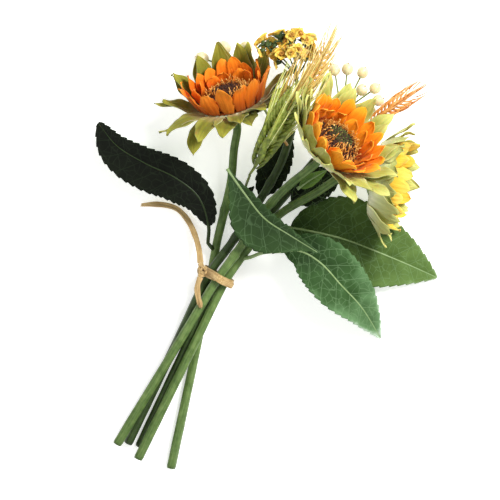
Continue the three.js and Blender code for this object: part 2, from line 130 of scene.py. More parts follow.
def newMaterial(name, values):
    material = bpy.data.materials.new(name)
    material.use_nodes = True
    shader = material.node_tree.nodes["Principled BSDF"]
    setInputs(material.node_tree, shader, values)
    return material, material.node_tree, shader


def readCut(tree):
    # what each point of a mesh knows: mm across its cut, its place along it, and a tone
    vector = addNode(tree, "Attribute", {"attribute_name": "cutPlace"}, output="Vector")
    across, along, tone = addNode(tree, "SeparateXYZ", inputs={0: vector}).outputs
    return {"vector": vector, "across": across, "along": along, "tone": tone}


def streaks(tree, vector, scale, detail):
    # noise drawn out along the cut, for fibres, runs of dye and flow lines
    drawn = addNode(tree, "Mapping", inputs={"Vector": vector, "Scale": scale}, output=0)
    return addNode(tree, "TexNoise", inputs={
        "Vector": drawn, "Scale": 1.0, "Detail": detail, "Roughness": 0.55}, output="Fac")


overlay = {"data_type": "RGBA", "blend_type": "MIX"}
darken = {"data_type": "RGBA", "blend_type": "MULTIPLY"}

petalCloth = {
    # base, lower, middle, tip
    # the left flower's orange, painted darker and redder on its front and reverse: painted shade for the
    # shade over that flower
    "shadedOrange": ("#5e1404", "#a63406", "#dc600c", "#f89424"),
    "shadedOrangeBack": ("#8c3206", "#b8480a", "#d86610", "#f2922a"),
    "orange": ("#8a2a06", "#d85c08", "#f8840e", "#ffa626"),
    "orangeBack": ("#c05a10", "#e88014", "#f8961e", "#ffb03c"),
    "yellow": ("#a86c10", "#e0a01a", "#f0bc2e", "#f4ce50"),
    "yellowBack": ("#a8801e", "#deac2a", "#ecc03c", "#f2d062"),
    "stops": (0.0, 0.26, 0.62, 1.0),
    "threadMm": 0.35,          # ribs of the polyester weave, drawn coarser than the real 0.1 mm to show
    "streakMm": 0.84,          # runs of dye
}


def dyedAndShadedPolyester(name, key):
    # dip-dyed polyester satin, heat-pressed: soft sheen, darker dye at the base, thin enough to glow; the
    # left flower's colours also hold painted shade
    material, tree, shader = newMaterial(name, {
        "Roughness": 0.6, "Sheen Weight": 0.06, "Sheen Roughness": 0.4, "Specular IOR Level": 0.14,
        "Subsurface Weight": 0.12, "Subsurface Scale": 0.0015})
    cut = readCut(tree)
    clothColours = petalCloth[key]
    streak = streaks(tree, cut["vector"], (1 / petalCloth["streakMm"], 2.2, 7.0), 4.0)
    runs = addNode(tree, "Math", {"operation": "MULTIPLY_ADD"}, {0: streak, 1: 0.26, 2: -0.13}, 0)
    dyed = addNode(tree, "Math", {"operation": "ADD"}, {0: cut["along"], 1: runs}, 0)
    colour = addNode(tree, "ValToRGB", {"stops": (petalCloth["stops"], clothColours)}, {"Fac": dyed}, "Color")
    faded = addNode(tree, "Math", {"operation": "MULTIPLY"}, {0: cut["tone"], 1: 0.6}, 0)
    paler = addNode(tree, "Mix", overlay, {0: faded, 6: colour, 7: srgb(clothColours[-1])}, 2)
    shade = addNode(tree, "Math", {"operation": "MULTIPLY_ADD"}, {0: streak, 1: 0.5, 2: 0.72}, 0)
    shaded = addNode(tree, "Mix", darken, {0: 0.8, 6: paler, 7: shade}, 2)
    weave = streaks(tree, cut["vector"], (1 / petalCloth["threadMm"], 60.0, 5.0), 2.0)
    relief = addNode(tree, "Math", {"operation": "ADD"}, {0: weave, 1: streak}, 0)
    bump = addNode(tree, "Bump", inputs={"Height": relief, "Strength": 0.35, "Distance": 0.0004}, output=0)
    setInputs(tree, shader, {"Base Color": shaded, "Normal": bump})
    return material


sepalCloth = {
    # base, lower, middle, tip
    "olive": ("#b09c68", "#80802c", "#74741f", "#a09e3c"),
    "oliveBack": ("#d9d8c2", "#b9bd98", "#9aa070", "#8e9256"),
    "pale": ("#c4bc88", "#aeb05c", "#a8a84c", "#ced07c"),
    "paleBack": ("#dedebc", "#c4c792", "#b0b46e", "#a6aa5a"),
    "stops": (0.0, 0.3, 0.62, 1.0),
    "edge": {"olive": "#bcba68", "oliveBack": "#c4c69a", "pale": "#dcdca4", "paleBack": "#c8ca84"},
    "edgeMm": (4.5, 9.0),      # from the middle of a sepal, where its edge colour starts and is full
    "blush": "#9a6a3c",        # the dye bleeds brown in places
    "veinMm": 1.5,
}


def printedPolyester(name, key):
    # polyester cloth, sprayed in two greens and starched: matte, and soft light through it
    material, tree, shader = newMaterial(name, {
        "Roughness": 0.7, "Sheen Weight": 0.06, "Sheen Roughness": 0.5, "Specular IOR Level": 0.16,
        "Subsurface Weight": 0.12, "Subsurface Scale": 0.0012})
    cut = readCut(tree)
    cloud = streaks(tree, cut["vector"], (0.16, 3.0, 9.0), 4.0)
    bled = addNode(tree, "Math", {"operation": "MULTIPLY_ADD"}, {0: cloud, 1: 0.4, 2: -0.2}, 0)
    dyed = addNode(tree, "Math", {"operation": "ADD"}, {0: cut["along"], 1: bled}, 0)
    colour = addNode(tree, "ValToRGB", {
        "stops": (sepalCloth["stops"], sepalCloth[key])}, {"Fac": dyed}, "Color")
    vein = streaks(tree, cut["vector"], (1 / sepalCloth["veinMm"], 1.2, 4.0), 2.0)
    veined = addNode(tree, "Math", {"operation": "MULTIPLY_ADD"}, {0: vein, 1: 0.7, 2: 0.62}, 0)
    colour = addNode(tree, "Mix", darken, {0: 0.6, 6: colour, 7: veined}, 2)
    away = addNode(tree, "Math", {"operation": "ABSOLUTE"}, {0: cut["across"]}, 0)
    edge = addNode(tree, "MapRange", inputs={
        "Value": away, "From Min": sepalCloth["edgeMm"][0], "From Max": sepalCloth["edgeMm"][1]}, output=0)
    edge = addNode(tree, "Math", {"operation": "MULTIPLY"}, {0: edge, 1: 0.6}, 0)
    colour = addNode(tree, "Mix", overlay, {0: edge, 6: colour, 7: srgb(sepalCloth["edge"][key])}, 2)
    blush = addNode(tree, "MapRange", inputs={"Value": cloud, "From Min": 0.56, "From Max": 0.72}, output=0)
    share = addNode(tree, "Math", {"operation": "MULTIPLY"}, {0: cut["tone"], 1: 0.7}, 0)
    blush = addNode(tree, "Math", {"operation": "MULTIPLY"}, {0: blush, 1: share}, 0)
    colour = addNode(tree, "Mix", overlay, {0: blush, 6: colour, 7: srgb(sepalCloth["blush"])}, 2)
    relief = addNode(tree, "Math", {"operation": "ADD"}, {0: vein, 1: cloud}, 0)
    bump = addNode(tree, "Bump", inputs={"Height": relief, "Strength": 0.4, "Distance": 0.0005}, output=0)
    setInputs(tree, shader, {"Base Color": colour, "Normal": bump})
    return material


leafCloth = {
    # each leaf's colours: dark middle, mid green, pale edge and tip; and how far its veins show. The
    # near-black sets are painted shade, and the paling towards the tip is a painted sheen
    # painted shade: this leaf lies in shadow, so its colours are near black and its veins nearly hidden
    "leaf_left": (("#0a0e06", "#11170b", "#182010", "#212b15"), 0.05),
    "leaf_front": (("#22331a", "#2e4423", "#3c572e", "#64845a"), 0.32),
    # painted sheen: this leaf and the next pale strongly towards their tips, where light catches them
    "leaf_lower_right": (("#1f3516", "#345328", "#64885a", "#c4d8c0"), 0.5),
    "leaf_right": (("#30461c", "#486029", "#5f7b3e", "#9ab284"), 0.4),
    # painted shade: the leaves under and behind the stems are near black for the shade they lie in
    "leaf_under_stems": (("#10190c", "#18240f", "#223016", "#2e4120"), 0.5),
    "leaf_behind": (("#10190c", "#18240f", "#223016", "#2e4120"), 0.1),
    "leaf_small": (("#4d6a2c", "#6a8a3c", "#82a048", "#96ae58"), 0.5),
    # painted shade: this sliver of leaf between the stems is near black for the shade it lies in
    "leaf_sliver": (("#0c1208", "#131c0c", "#1b2712", "#26361a"), 0.1),
    "leafBack": (("#5a7350", "#6c8763", "#7d9873", "#8aa380"), 0.35),
}
leafVeins = {
    "colour": "#86a878",
    "stops": (0.05, 0.4, 0.75, 1.0),
    "cellMm": 5.6,             # width of the net between the veins
    "sideMm": 14.0,            # step from one side vein to the next
    "slant": 0.85,             # mm that a side vein climbs for each mm outward
    "ribMm": (0.2, 0.7),       # from the leaf's middle, where the rib's colour starts to fade and ends
}


def printedLeafClothWithShadeAndSheen(name, colours, veinShare):
    # polyester leaf cloth, printed and pressed in a hot mould: nearly matte, its veins raised and pale; the
    # near-black leaves' colours are painted shade, and each leaf's paling towards its tip a painted sheen
    material, tree, shader = newMaterial(name, {
        "Roughness": 0.65, "Sheen Weight": 0.01, "Sheen Roughness": 0.5, "Specular IOR Level": 0.14})
    cut = readCut(tree)
    flat = addNode(tree, "CombineXYZ", inputs={0: cut["across"], 1: cut["along"]}, output=0)
    wander = addNode(tree, "TexNoise", inputs={"Vector": flat, "Scale": 0.12, "Detail": 2.0}, output="Color")
    wander = addNode(tree, "VectorMath", {"operation": "SCALE"}, {0: wander, "Scale": 40.0}, 0)
    bent = addNode(tree, "Mix", {"data_type": "VECTOR"}, {0: 0.08, 4: flat, 5: wander}, 1)
    net = addNode(tree, "TexVoronoi", {"feature": "DISTANCE_TO_EDGE"}, {
        "Vector": bent, "Scale": 1 / leafVeins["cellMm"]}, "Distance")
    far = addNode(tree, "Math", {"operation": "ABSOLUTE"}, {0: cut["across"]}, 0)
    slanted = addNode(tree, "Math", {"operation": "MULTIPLY_ADD"}, {
        0: far, 1: -leafVeins["slant"], 2: cut["along"]}, 0)
    steps = addNode(tree, "Math", {"operation": "DIVIDE"}, {0: slanted, 1: leafVeins["sideMm"]}, 0)
    side = addNode(tree, "Math", {"operation": "PINGPONG"}, {0: steps, 1: 0.5}, 0)
    lines = [addNode(tree, "MapRange", inputs={
        "Value": distance, "From Min": near, "From Max": end, "To Min": 1.0, "To Max": 0.0}, output=0)
        for distance, near, end in ((net, 0.0, 0.05), (side, 0.0, 0.03), (far, *leafVeins["ribMm"]))]
    faint = addNode(tree, "Math", {"operation": "MULTIPLY"}, {0: lines[0], 1: 0.55}, 0)
    veins = addNode(tree, "Math", {"operation": "MAXIMUM"}, {0: faint, 1: lines[2]}, 0)
    veins = addNode(tree, "Math", {"operation": "MAXIMUM"}, {0: veins, 1: lines[1]}, 0)
    cloud = addNode(tree, "TexNoise", inputs={
        "Vector": flat, "Scale": 0.05, "Detail": 4.0, "Roughness": 0.6}, output="Fac")
    cloud = addNode(tree, "Math", {"operation": "MULTIPLY_ADD"}, {0: cloud, 1: 0.9, 2: -0.45}, 0)
    toned = addNode(tree, "Math", {"operation": "ADD"}, {0: cut["tone"], 1: cloud}, 0)
    colour = addNode(tree, "ValToRGB", {"stops": (leafVeins["stops"], colours)}, {"Fac": toned}, "Color")
    shown = addNode(tree, "Math", {"operation": "MULTIPLY"}, {0: veins, 1: veinShare}, 0)
    colour = addNode(tree, "Mix", overlay, {0: shown, 6: colour, 7: srgb(leafVeins["colour"])}, 2)
    fine = addNode(tree, "TexNoise", inputs={"Vector": flat, "Scale": 2.5, "Detail": 3.0}, output="Fac")
    relief = addNode(tree, "Math", {"operation": "MULTIPLY_ADD"}, {0: fine, 1: 0.3, 2: veins}, 0)
    bump = addNode(tree, "Bump", inputs={"Height": relief, "Strength": 0.5, "Distance": 0.0005}, output=0)
    setInputs(tree, shader, {"Base Color": colour, "Normal": bump})
    return material


stemPlastic = {
    "stem": ("#34481d", "#4d6730", "#678043", "#84995a"),
    "darkStem": ("#1c2a0c", "#2b3c18", "#3d5226", "#526a36"),
    "stops": (0.3, 0.45, 0.6, 0.8),
    "streakMm": 1.1,
}


def mouldedPolyethylene(name, colours):
    # soft polyethylene moulded over wire: satin, with faint flow lines along the stem
    material, tree, shader = newMaterial(name, {
        "Roughness": 0.45, "Specular IOR Level": 0.35, "Subsurface Weight": 0.06, "Subsurface Scale": 0.002})
    cut = readCut(tree)
    streak = streaks(tree, cut["vector"], (1 / stemPlastic["streakMm"], 6.0, 3.0), 4.0)
    cloud = streaks(tree, cut["vector"], (0.1, 14.0, 3.0), 3.0)
    cloud = addNode(tree, "Math", {"operation": "MULTIPLY"}, {0: cloud, 1: 0.5}, 0)
    both = addNode(tree, "Math", {"operation": "MULTIPLY_ADD"}, {0: streak, 1: 0.55, 2: cloud}, 0)
    colour = addNode(tree, "ValToRGB", {"stops": (stemPlastic["stops"], colours)}, {"Fac": both}, "Color")
    bump = addNode(tree, "Bump", inputs={"Height": streak, "Strength": 0.3, "Distance": 0.0004}, output=0)
    setInputs(tree, shader, {"Base Color": colour, "Normal": bump})
    return material


raffiaFinish = {
    "colours": ("#84663a", "#b08e58", "#cdb07a", "#e8d4a4"),
    "stops": (0.28, 0.45, 0.6, 0.8),
    "fibreMm": 0.28,
}


def splitRaffia(name):
    # dried raffia palm, torn to ribbons: long fibres, dry and matte, paler where it is worn
    material, tree, shader = newMaterial(name, {"Roughness": 0.8, "Sheen Weight": 0.15})
    cut = readCut(tree)
    fibre = streaks(tree, cut["vector"], (1 / raffiaFinish["fibreMm"], 4.0, 5.0), 4.0)
    cloud = streaks(tree, cut["vector"], (0.25, 9.0, 5.0), 3.0)
    cloud = addNode(tree, "Math", {"operation": "MULTIPLY"}, {0: cloud, 1: 0.42}, 0)
    both = addNode(tree, "Math", {"operation": "MULTIPLY_ADD"}, {0: fibre, 1: 0.6, 2: cloud}, 0)
    colour = addNode(tree, "ValToRGB", {
        "stops": (raffiaFinish["stops"], raffiaFinish["colours"])}, {"Fac": both}, "Color")
    bump = addNode(tree, "Bump", inputs={"Height": fibre, "Strength": 0.7, "Distance": 0.0005}, output=0)
    setInputs(tree, shader, {"Base Color": colour, "Normal": bump})
    return material


mottled = {
    # the material's name, its colours from the hollows out, the grain in mm, roughness, glow
    "calyx": ("calyx_polyethylene", ("#5b7a3c", "#7b9658", "#94ab74", "#a9bd8d"), 4, 0.5, 0),
    "discDark": ("flocked_disc_brown", ("#1c0d06", "#34190b", "#5a2f14", "#93561f"), 1.2, 0.95, 0),
    "discGreen": ("flocked_disc_green", ("#262f10", "#434f1e", "#606a2e", "#827f3e"), 1.2, 0.95, 0),
    "filament": ("stamen_bristle_gold", ("#7c4014", "#b87024", "#dc9c3e", "#f0c470"), 2, 0.6, 0),
    "earGreen": ("green_ear_polyethylene", ("#2c3510", "#56631e", "#8e9c3a", "#ccd274"), 3, 0.45, 0.1),
    "earGold": ("gold_ear_polyethylene", ("#8a5a24", "#b5833c", "#d2a452", "#e4c57c"), 3, 0.45, 0.1),
    "earBrown": ("amber_ear_polyethylene", ("#96501a", "#c67a32", "#e09c50", "#eec07e"), 3, 0.45, 0.1),
    "awnGreen": ("green_awn_bristle", ("#8c9a34", "#b4bf50", "#d6da7c", "#ecebac"), 3, 0.4, 0.1),
    "awnGold": ("gold_awn_bristle", ("#b08a3c", "#cfae58", "#e2c878", "#f0dfa0"), 3, 0.4, 0.1),
    "berry": ("berry_lacquered_foam", ("#c4ad72", "#d8c48c", "#e8dbb0", "#f4ecd0"), 5, 0.35, 0.25),
    "blossom": ("blossom_dyed_cloth", ("#c58a1e", "#e2b53c", "#f0d468", "#f8eaa4"), 3, 0.7, 0.15),
    "blossomEye": ("blossom_eye_flock", ("#6b4412", "#94621c", "#b8822c", "#d8a648"), 1, 0.9, 0),
    "wire": ("wire_green_coating", ("#22301a", "#324624", "#445a30", "#586f40"), 4, 0.5, 0),
    "berryWire": ("berry_wire_coating", ("#5d6a38", "#76844a", "#8d9a5e", "#a2ae74"), 4, 0.5, 0),
}
mottledStops = (0.2, 0.45, 0.65, 0.9)


def mottledFinish(name, colours, grainMm, roughness, glow):
    # the small moulded, flocked and coated parts: mottled by one grain, with the darker colours where that
    # grain sinks in the bump
    material, tree, shader = newMaterial(name, {
        "Roughness": roughness, "Subsurface Weight": glow, "Subsurface Scale": 0.002})
    solid = addNode(tree, "TexCoord", output="Object")
    grain = addNode(tree, "TexNoise", inputs={
        "Vector": solid, "Scale": 1000 / grainMm, "Detail": 4.0, "Roughness": 0.6}, output="Fac")
    tone = addNode(tree, "Math", {"operation": "MULTIPLY"}, {0: readCut(tree)["tone"], 1: 0.5}, 0)
    both = addNode(tree, "Math", {"operation": "MULTIPLY_ADD"}, {0: grain, 1: 0.7, 2: tone}, 0)
    colour = addNode(tree, "ValToRGB", {"stops": (mottledStops, colours)}, {"Fac": both}, "Color")
    bump = addNode(tree, "Bump", inputs={"Height": grain, "Strength": 0.35, "Distance": 0.0003}, output=0)
    setInputs(tree, shader, {"Base Color": colour, "Normal": bump})
    return material


looks = {key: mottledFinish(*finish) for key, finish in mottled.items()}
# the first set is the orange with painted shade, for the left flower
for dye in ("shadedOrange", "orange", "yellow"):
    looks[dye + "Petal"] = dyedAndShadedPolyester(dye + "_petal_polyester", dye)
    looks[dye + "Back"] = dyedAndShadedPolyester(dye + "_petal_reverse", dye + "Back")
for green in ("olive", "pale"):
    looks[green + "Sepal"] = printedPolyester(green + "_sepal_polyester", green)
    looks[green + "Back"] = printedPolyester(green + "_sepal_reverse", green + "Back")
for key, (colours, veinShare) in leafCloth.items():
    clothName = "leaf_reverse" if key == "leafBack" else key + "_polyester"
    looks[key] = printedLeafClothWithShadeAndSheen(clothName, colours, veinShare)
looks["stem"] = mouldedPolyethylene("stem_polyethylene", stemPlastic["stem"])
looks["darkStem"] = mouldedPolyethylene("shaded_stem_polyethylene", stemPlastic["darkStem"])
looks["raffia"] = splitRaffia("split_raffia")
print("materials made:", len(looks))


# mesh helpers
def places(points):
    return [place(p) for p in points]


def turns(count):
    return [2 * math.pi * j / count for j in range(count)]


def aimed(side, up, angle):
    return side * math.cos(angle) + up * math.sin(angle)


def newStore():
    return {"points": [], "faces": [], "cut": [], "slot": []}


def addGrid(store, rows, slot=0, closed=False):
    # rows of (point, cutPlace); closed joins the last point of a row to its first
    first = len(store["points"])
    wide = len(rows[0])
    for row in rows:
        for point, cut in row:
            store["points"].append(point)
            store["cut"].append(cut)
    columns = wide if closed else wide - 1
    for i in range(len(rows) - 1):
        near, far = first + i * wide, first + (i + 1) * wide
        for j in range(columns):
            k = (j + 1) % wide
            store["faces"].append((near + j, near + k, far + k, far + j))
            store["slot"].append(slot)


def closeRow(store, start, wide, slot, flip):
    # a fan over one ring of points, with its middle as a new point
    middle = sum((store["points"][start + j] for j in range(wide)), Vector()) / wide
    store["points"].append(middle)
    store["cut"].append(store["cut"][start])
    tip = len(store["points"]) - 1
    for j in range(wide):
        a, b = start + j, start + (j + 1) % wide
        store["faces"].append((b, a, tip) if flip else (a, b, tip))
        store["slot"].append(slot)


def addSolid(store, rings, slot=0, startSlot=None, endSlot=None):
    # rings of points joined in turn, with a fan over each end
    first = len(store["points"])
    wide = len(rings[0])
    addGrid(store, rings, slot, closed=True)
    closeRow(store, first, wide, slot if startSlot is None else startSlot, True)
    closeRow(store, first + (len(rings) - 1) * wide, wide, slot if endSlot is None else endSlot, False)


def alongLine(line, look=(0, 0, 1)):
    # each point of a line with its sideways and upward directions, the way so far and its share
    travelled = 0.0
    last = len(line) - 1
    for i, point in enumerate(line):
        ahead = (line[min(i + 1, last)] - line[max(i - 1, 0)]).normalized()
        side = Vector(look).cross(ahead)
        side = side.normalized() if side.length > 1e-6 else Vector((1, 0, 0))
        if i:
            travelled += (point - line[i - 1]).length
        yield point, side, ahead.cross(side).normalized(), travelled, i / last


def addTube(store, line, radii, sides=10, slot=0, tone=0.5):
    rings = []
    for (point, side, up, travelled, _), radius in zip(alongLine(line, (0.2, 0.3, 1.0)), radii):
        rings.append([(point + aimed(side, up, angle) * radius,
                       (radius * 1000 * abs(angle - math.pi), travelled, tone)) for angle in turns(sides)])
    addSolid(store, rings, slot)


def finishMesh(name, store, materials, thickness=0.0):
    mesh = bpy.data.meshes.new(name)
    mesh.from_pydata([tuple(p) for p in store["points"]], [], store["faces"])
    cut = mesh.attributes.new("cutPlace", "FLOAT_VECTOR", "POINT")
    cut.data.foreach_set("vector", [c for triple in store["cut"] for c in triple])
    for material in materials:
        mesh.materials.append(looks[material])
    mesh.polygons.foreach_set("material_index", store["slot"])
    mesh.polygons.foreach_set("use_smooth", [True] * len(mesh.polygons))
    mesh.update()
    piece = bpy.data.objects.new(name, mesh)
    bpy.context.collection.objects.link(piece)
    if thickness:
        # cloth is one surface with a thickness, and its other side and edge take the second material
        shell = piece.modifiers.new("cloth", "SOLIDIFY")
        shell.thickness = thickness
        shell.offset = 0.0
        shell.material_offset = 1
        shell.material_offset_rim = 1
    return piece


def settle(piece, node):
    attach(piece, "root")
    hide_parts(node)
    return piece


def curvePoints(route, steps):
    # Catmull-Rom through the route's points, centripetal, as the frame's own curves are
    points = [Vector(p) for p in route]
    points = [points[0] * 2 - points[1]] + points + [points[-1] * 2 - points[-2]]
    out = []
    spans = len(points) - 3
    for k in range(steps + 1):
        at = k / steps * spans
        i = min(int(at), spans - 1)
        share = at - i
        p0, p1, p2, p3 = points[i:i + 4]
        t1 = max((p1 - p0).length, 1e-9) ** 0.5
        t2 = t1 + max((p2 - p1).length, 1e-9) ** 0.5
        t3 = t2 + max((p3 - p2).length, 1e-9) ** 0.5
        t = t1 + share * (t2 - t1)
        a1 = p0 * ((t1 - t) / t1) + p1 * (t / t1)
        a2 = p1 * ((t2 - t) / (t2 - t1)) + p2 * ((t - t1) / (t2 - t1))
        a3 = p2 * ((t3 - t) / (t3 - t2)) + p3 * ((t - t2) / (t3 - t2))
        b1 = a1 * ((t2 - t) / t2) + a2 * (t / t2)
        b2 = a2 * ((t3 - t) / (t3 - t1)) + a3 * ((t - t1) / (t3 - t1))
        out.append(b1 * ((t2 - t) / (t2 - t1)) + b2 * ((t - t1) / (t2 - t1)))
    return out


def evenly(line, count):
    # the same line with its points a steady step apart
    lengths = [0.0]
    for a, b in zip(line, line[1:]):
        lengths.append(lengths[-1] + (b - a).length)
    out = []
    i = 0
    for k in range(count):
        want = lengths[-1] * k / (count - 1)
        while i < len(line) - 2 and lengths[i + 1] < want:
            i += 1
        share = (want - lengths[i]) / max(lengths[i + 1] - lengths[i], 1e-12)
        out.append(line[i].lerp(line[i + 1], share))
    return out


# raffia: the loose ends come first
raffia = {
    "width": 5.0,              # mm, a split of palm leaf
    "thickness": 0.7,
    "longEnd": [(-35.5, -9, 20), (-36.5, -1, 13.5), (-38.5, 7, 8.5), (-42, 16, 5.5), (-47, 24, 4),
                (-53.5, 30, 3), (-61, 32.5, 2.5), (-70, 33.3, 2), (-79, 32.8, 1.6)],
    "shortEnd": [(-35.5, -19.5, 24), (-37.5, -26, 26.5), (-37, -33, 26.5), (-35, -41, 25)],
    "endWidth": 4.3,           # where a loose end has curled in a little
    "endTwist": 0.55,          # radians
    "fibres": 7,               # loose fibres beside each end
    "fibreRadius": 0.00022,    # metres
    "fibreTip": 0.00008,
    "cordLength": 0.075,       # the long end, measured along its middle, in metres
    "folds": 9,                # lengthwise folds across a strip
    "fold": 0.22,              # how far they stand up, as a share of the thickness
    "crumple": 0.25,
    "ragged": 0.12,            # share of the width that the torn edge wanders
    "seed": 7,
}


def addRaffiaStrip(store, line, width, thickness, rng, twist=0.0, turn=0.0):
    # a closed flat strip with lengthwise folds, its two faces a thickness apart
    folds = [rng.uniform(-1, 1) for _ in range(raffia["folds"])]
    tone = rng.random()
    rings = []
    for point, side, up, travelled, share in alongLine(line):
        roll = twist * math.sin(2.2 * share * math.pi) + turn
        side, up = aimed(side, up, roll), up * math.cos(roll) - side * math.sin(roll)
        narrowing = 1 + raffia["ragged"] * noise.noise(Vector((travelled * 120, tone * 40, 0)))
        narrowing *= min(1.0, 0.55 + 3.0 * (1 - share))
        upper, lower = [], []
        for j, fold in enumerate(folds):
            u = 2 * j / (raffia["folds"] - 1) - 1
            crumple = noise.noise(Vector((u * 2.5, travelled * 60, tone * 30)))
            ripple = fold * raffia["fold"] + raffia["crumple"] * crumple
            middle = point + side * (u * width / 2000 * narrowing) + up * (ripple * thickness / 1000)
            half = up * (thickness / 2000 * (1 - 0.6 * abs(u)))
            cut = (u * width / 2, travelled * 12, tone)
            upper.append((middle + half, cut))
            lower.append((middle - half, cut))
        rings.append(upper + lower[::-1])
    addSolid(store, rings)


def raffiaEnd(name, route, steps, rng):
    line = evenly(places(curvePoints(route, 8 * (len(route) - 1))), steps)
    store = newStore()
    addRaffiaStrip(store, line, raffia["endWidth"], raffia["thickness"], rng, raffia["endTwist"])
    for _ in range(raffia["fibres"]):
        aside = Vector((rng.uniform(-1.2, 1.2), rng.uniform(-1.2, 1.2), rng.uniform(0, 0.9))) / 1000
        start = rng.randint(0, steps // 2)
        loose = [p + aside * (0.3 + 0.7 * i / steps) for i, p in enumerate(line)][start:]
        radii = [raffia["fibreRadius"]] * (len(loose) - 1) + [raffia["fibreTip"]]
        addTube(store, loose, radii, sides=5, tone=rng.random())
    return settle(finishMesh(name, store, ["raffia"]), name), line


raffiaRandom = random.Random(raffia["seed"])
longEnd, longLine = raffiaEnd("raffia_tail_long", raffia["longEnd"], 64, raffiaRandom)
raffiaEnd("raffia_tail_short", raffia["shortEnd"], 30, raffiaRandom)

tie = {
    "centre": (-24, -19.4),    # the band's middle on the surface's plan
    "across": (0.9, -0.43, 0),
    "down": (-0.405, -0.914, 0),
    # step down the stems, slant, width and lift of each wrap, in mm
    "wraps": [(-2.1, 0.9, 3.0, 0.0), (1.7, -1.1, 3.2, 0.35), (-0.2, 1.6, 3.4, 0.75)],
    "columns": 9,
    "around": 96,
    "faces": (0.45, -0.35),    # mm that a wrap's outer and inner faces stand off its middle
    "lowest": 0.0002,          # metres, where it lies on the surface under the stems
    # radius, stretch, tilt axis, tilt and width of each turn of the knot
    "turns": [(2.2, (1.0, 1.5, 1.0), (1, 0, 0.3), 0.5, 3.4), (2.0, (1.5, 1.0, 1.1), (0, 1, 0.2), 1.0, 3.2),
              (1.5, (1.1, 1.6, 1.0), (0.4, 0.6, 1), 2.0, 3.6)],
    "turnSteps": 33,
    "turnThickness": 1.3,
    # where the two loose ends come out of the knot
    "leads": [((-35, -11, 21), raffia["longEnd"][0]), ((-35, -17.5, 23.5), raffia["shortEnd"][0])],
    "leadWidth": 4.0,
    "leadThickness": 0.9,
}
tieAcross = Vector(tie["across"]).normalized()
tieDown = Vector(tie["down"]).normalized()


def bandOutline():
    # how far the frame's band reaches each way, softened as raffia bridges between stems
    origin = place((*tie["centre"], 0))
    points = [v.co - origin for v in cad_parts["raffia_band"].data.vertices]
    flat = [(p.dot(tieAcross), p.z) for p in points]
    middle = (sum(a for a, _ in flat) / len(flat), sum(b for _, b in flat) / len(flat))
    angles = turns(tie["around"])
    reaches = [max((a - middle[0]) * math.cos(angle) + (b - middle[1]) * math.sin(angle) for a, b in flat)
               for angle in angles]
    ring = []
    for i, angle in enumerate(angles):
        c, s = math.cos(angle), math.sin(angle)
        slope = (reaches[(i + 1) % len(reaches)] - reaches[i - 1]) / (4 * math.pi / len(reaches))
        ring.append((middle[0] + reaches[i] * c - slope * s, middle[1] + reaches[i] * s + slope * c))
    for _ in range(2):
        ring = [tuple((ring[i - 1][k] + 2 * ring[i][k] + ring[(i + 1) % len(ring)][k]) / 4 for k in (0, 1))
                for i in range(len(ring))]
    return origin, middle, ring


def raffiaBand():
    origin, middle, ring = bandOutline()
    store = newStore()
    for step, slant, width, lift in tie["wraps"]:
        tone = raffiaRandom.random()
        rows = []
        for (a, b), angle in zip(ring, turns(len(ring))):
            outward = Vector((a - middle[0], b - middle[1])).normalized()
            offset = step + slant * math.sin(angle + 0.6)
            row = []
            for face in tie["faces"]:
                columns = range(tie["columns"]) if face > 0 else range(tie["columns"] - 1, -1, -1)
                for j in columns:
                    u = 2 * j / (tie["columns"] - 1) - 1
                    crease = Vector((u * 2.6 + tone * 9, math.cos(angle) * 1.5, math.sin(angle) * 1.5))
                    fold = 0.5 * noise.noise(crease)
                    proud = (lift + face * (1 - 0.5 * abs(u)) + fold - 0.35) / 1000
                    point = (origin + tieAcross * (a + outward.x * proud)
                             + Vector((0, 0, 1)) * (b + outward.y * proud)
                             + tieDown * ((offset + u * width / 2) / 1000))
                    point.z = max(point.z, tie["lowest"])
                    row.append((point, (u * width / 2, angle * 0.6, tone)))
            rows.append(row)
        rows.append(rows[0])
        addGrid(store, rows, 0, closed=True)
    settle(finishMesh("raffia_band", store, ["raffia"]), "raffia_band")


def raffiaKnot():
    store = newStore()
    knotLow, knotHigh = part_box("raffia_knot")
    middle = (knotLow + knotHigh) * 500 - layoutShift
    for radius, stretch, tiltAxis, tilt, width in tie["turns"]:
        axis = Vector(tiltAxis).normalized()
        line = []
        for i in range(tie["turnSteps"] + 1):
            angle = 1.9 * math.pi * i / tie["turnSteps"]
            p = Vector((radius * stretch[0] * math.cos(angle), radius * stretch[1] * math.sin(angle),
                        1.1 * stretch[2] * math.sin(2 * angle)))
            turned = aimed(p, axis.cross(p), tilt) + axis * axis.dot(p) * (1 - math.cos(tilt))
            line.append(place(middle + turned))
        addRaffiaStrip(store, line, width, tie["turnThickness"], raffiaRandom, twist=0.9,
                       turn=raffiaRandom.uniform(0, 1.5))
    for lead in tie["leads"]:
        line = evenly(places(curvePoints([middle, *lead], 16)), 14)
        addRaffiaStrip(store, line, tie["leadWidth"], tie["leadThickness"], raffiaRandom, twist=0.3)
    settle(finishMesh("raffia_knot", store, ["raffia"]), "raffia_knot")


raffiaBand()
raffiaKnot()
print("raffia tie made")


# stems
stem = {
    "diameter": 6.8,
    "pitch": 7.35,             # stem and its clearance
    "cutLength": 140,          # from the tie to the cut ends
    "topTaper": 0.88,
    "ridge": 0.10,             # mm, the moulding's lengthwise ridges
    "lump": 0.12,
    "endRound": 0.35,
    "sides": 28,
    "rings": 150,
    "collar": 0.55,            # mm that a joint of the moulding stands proud
    "collarSharp": 95,         # higher makes the joint's ring narrower
    "shy": 0.1,                # mm that the ridges' middle lies inside the diameter
    "wireRadius": 0.0008,      # metres, the wire that the plastic is moulded over
}
onFloor = stem["diameter"] / 2

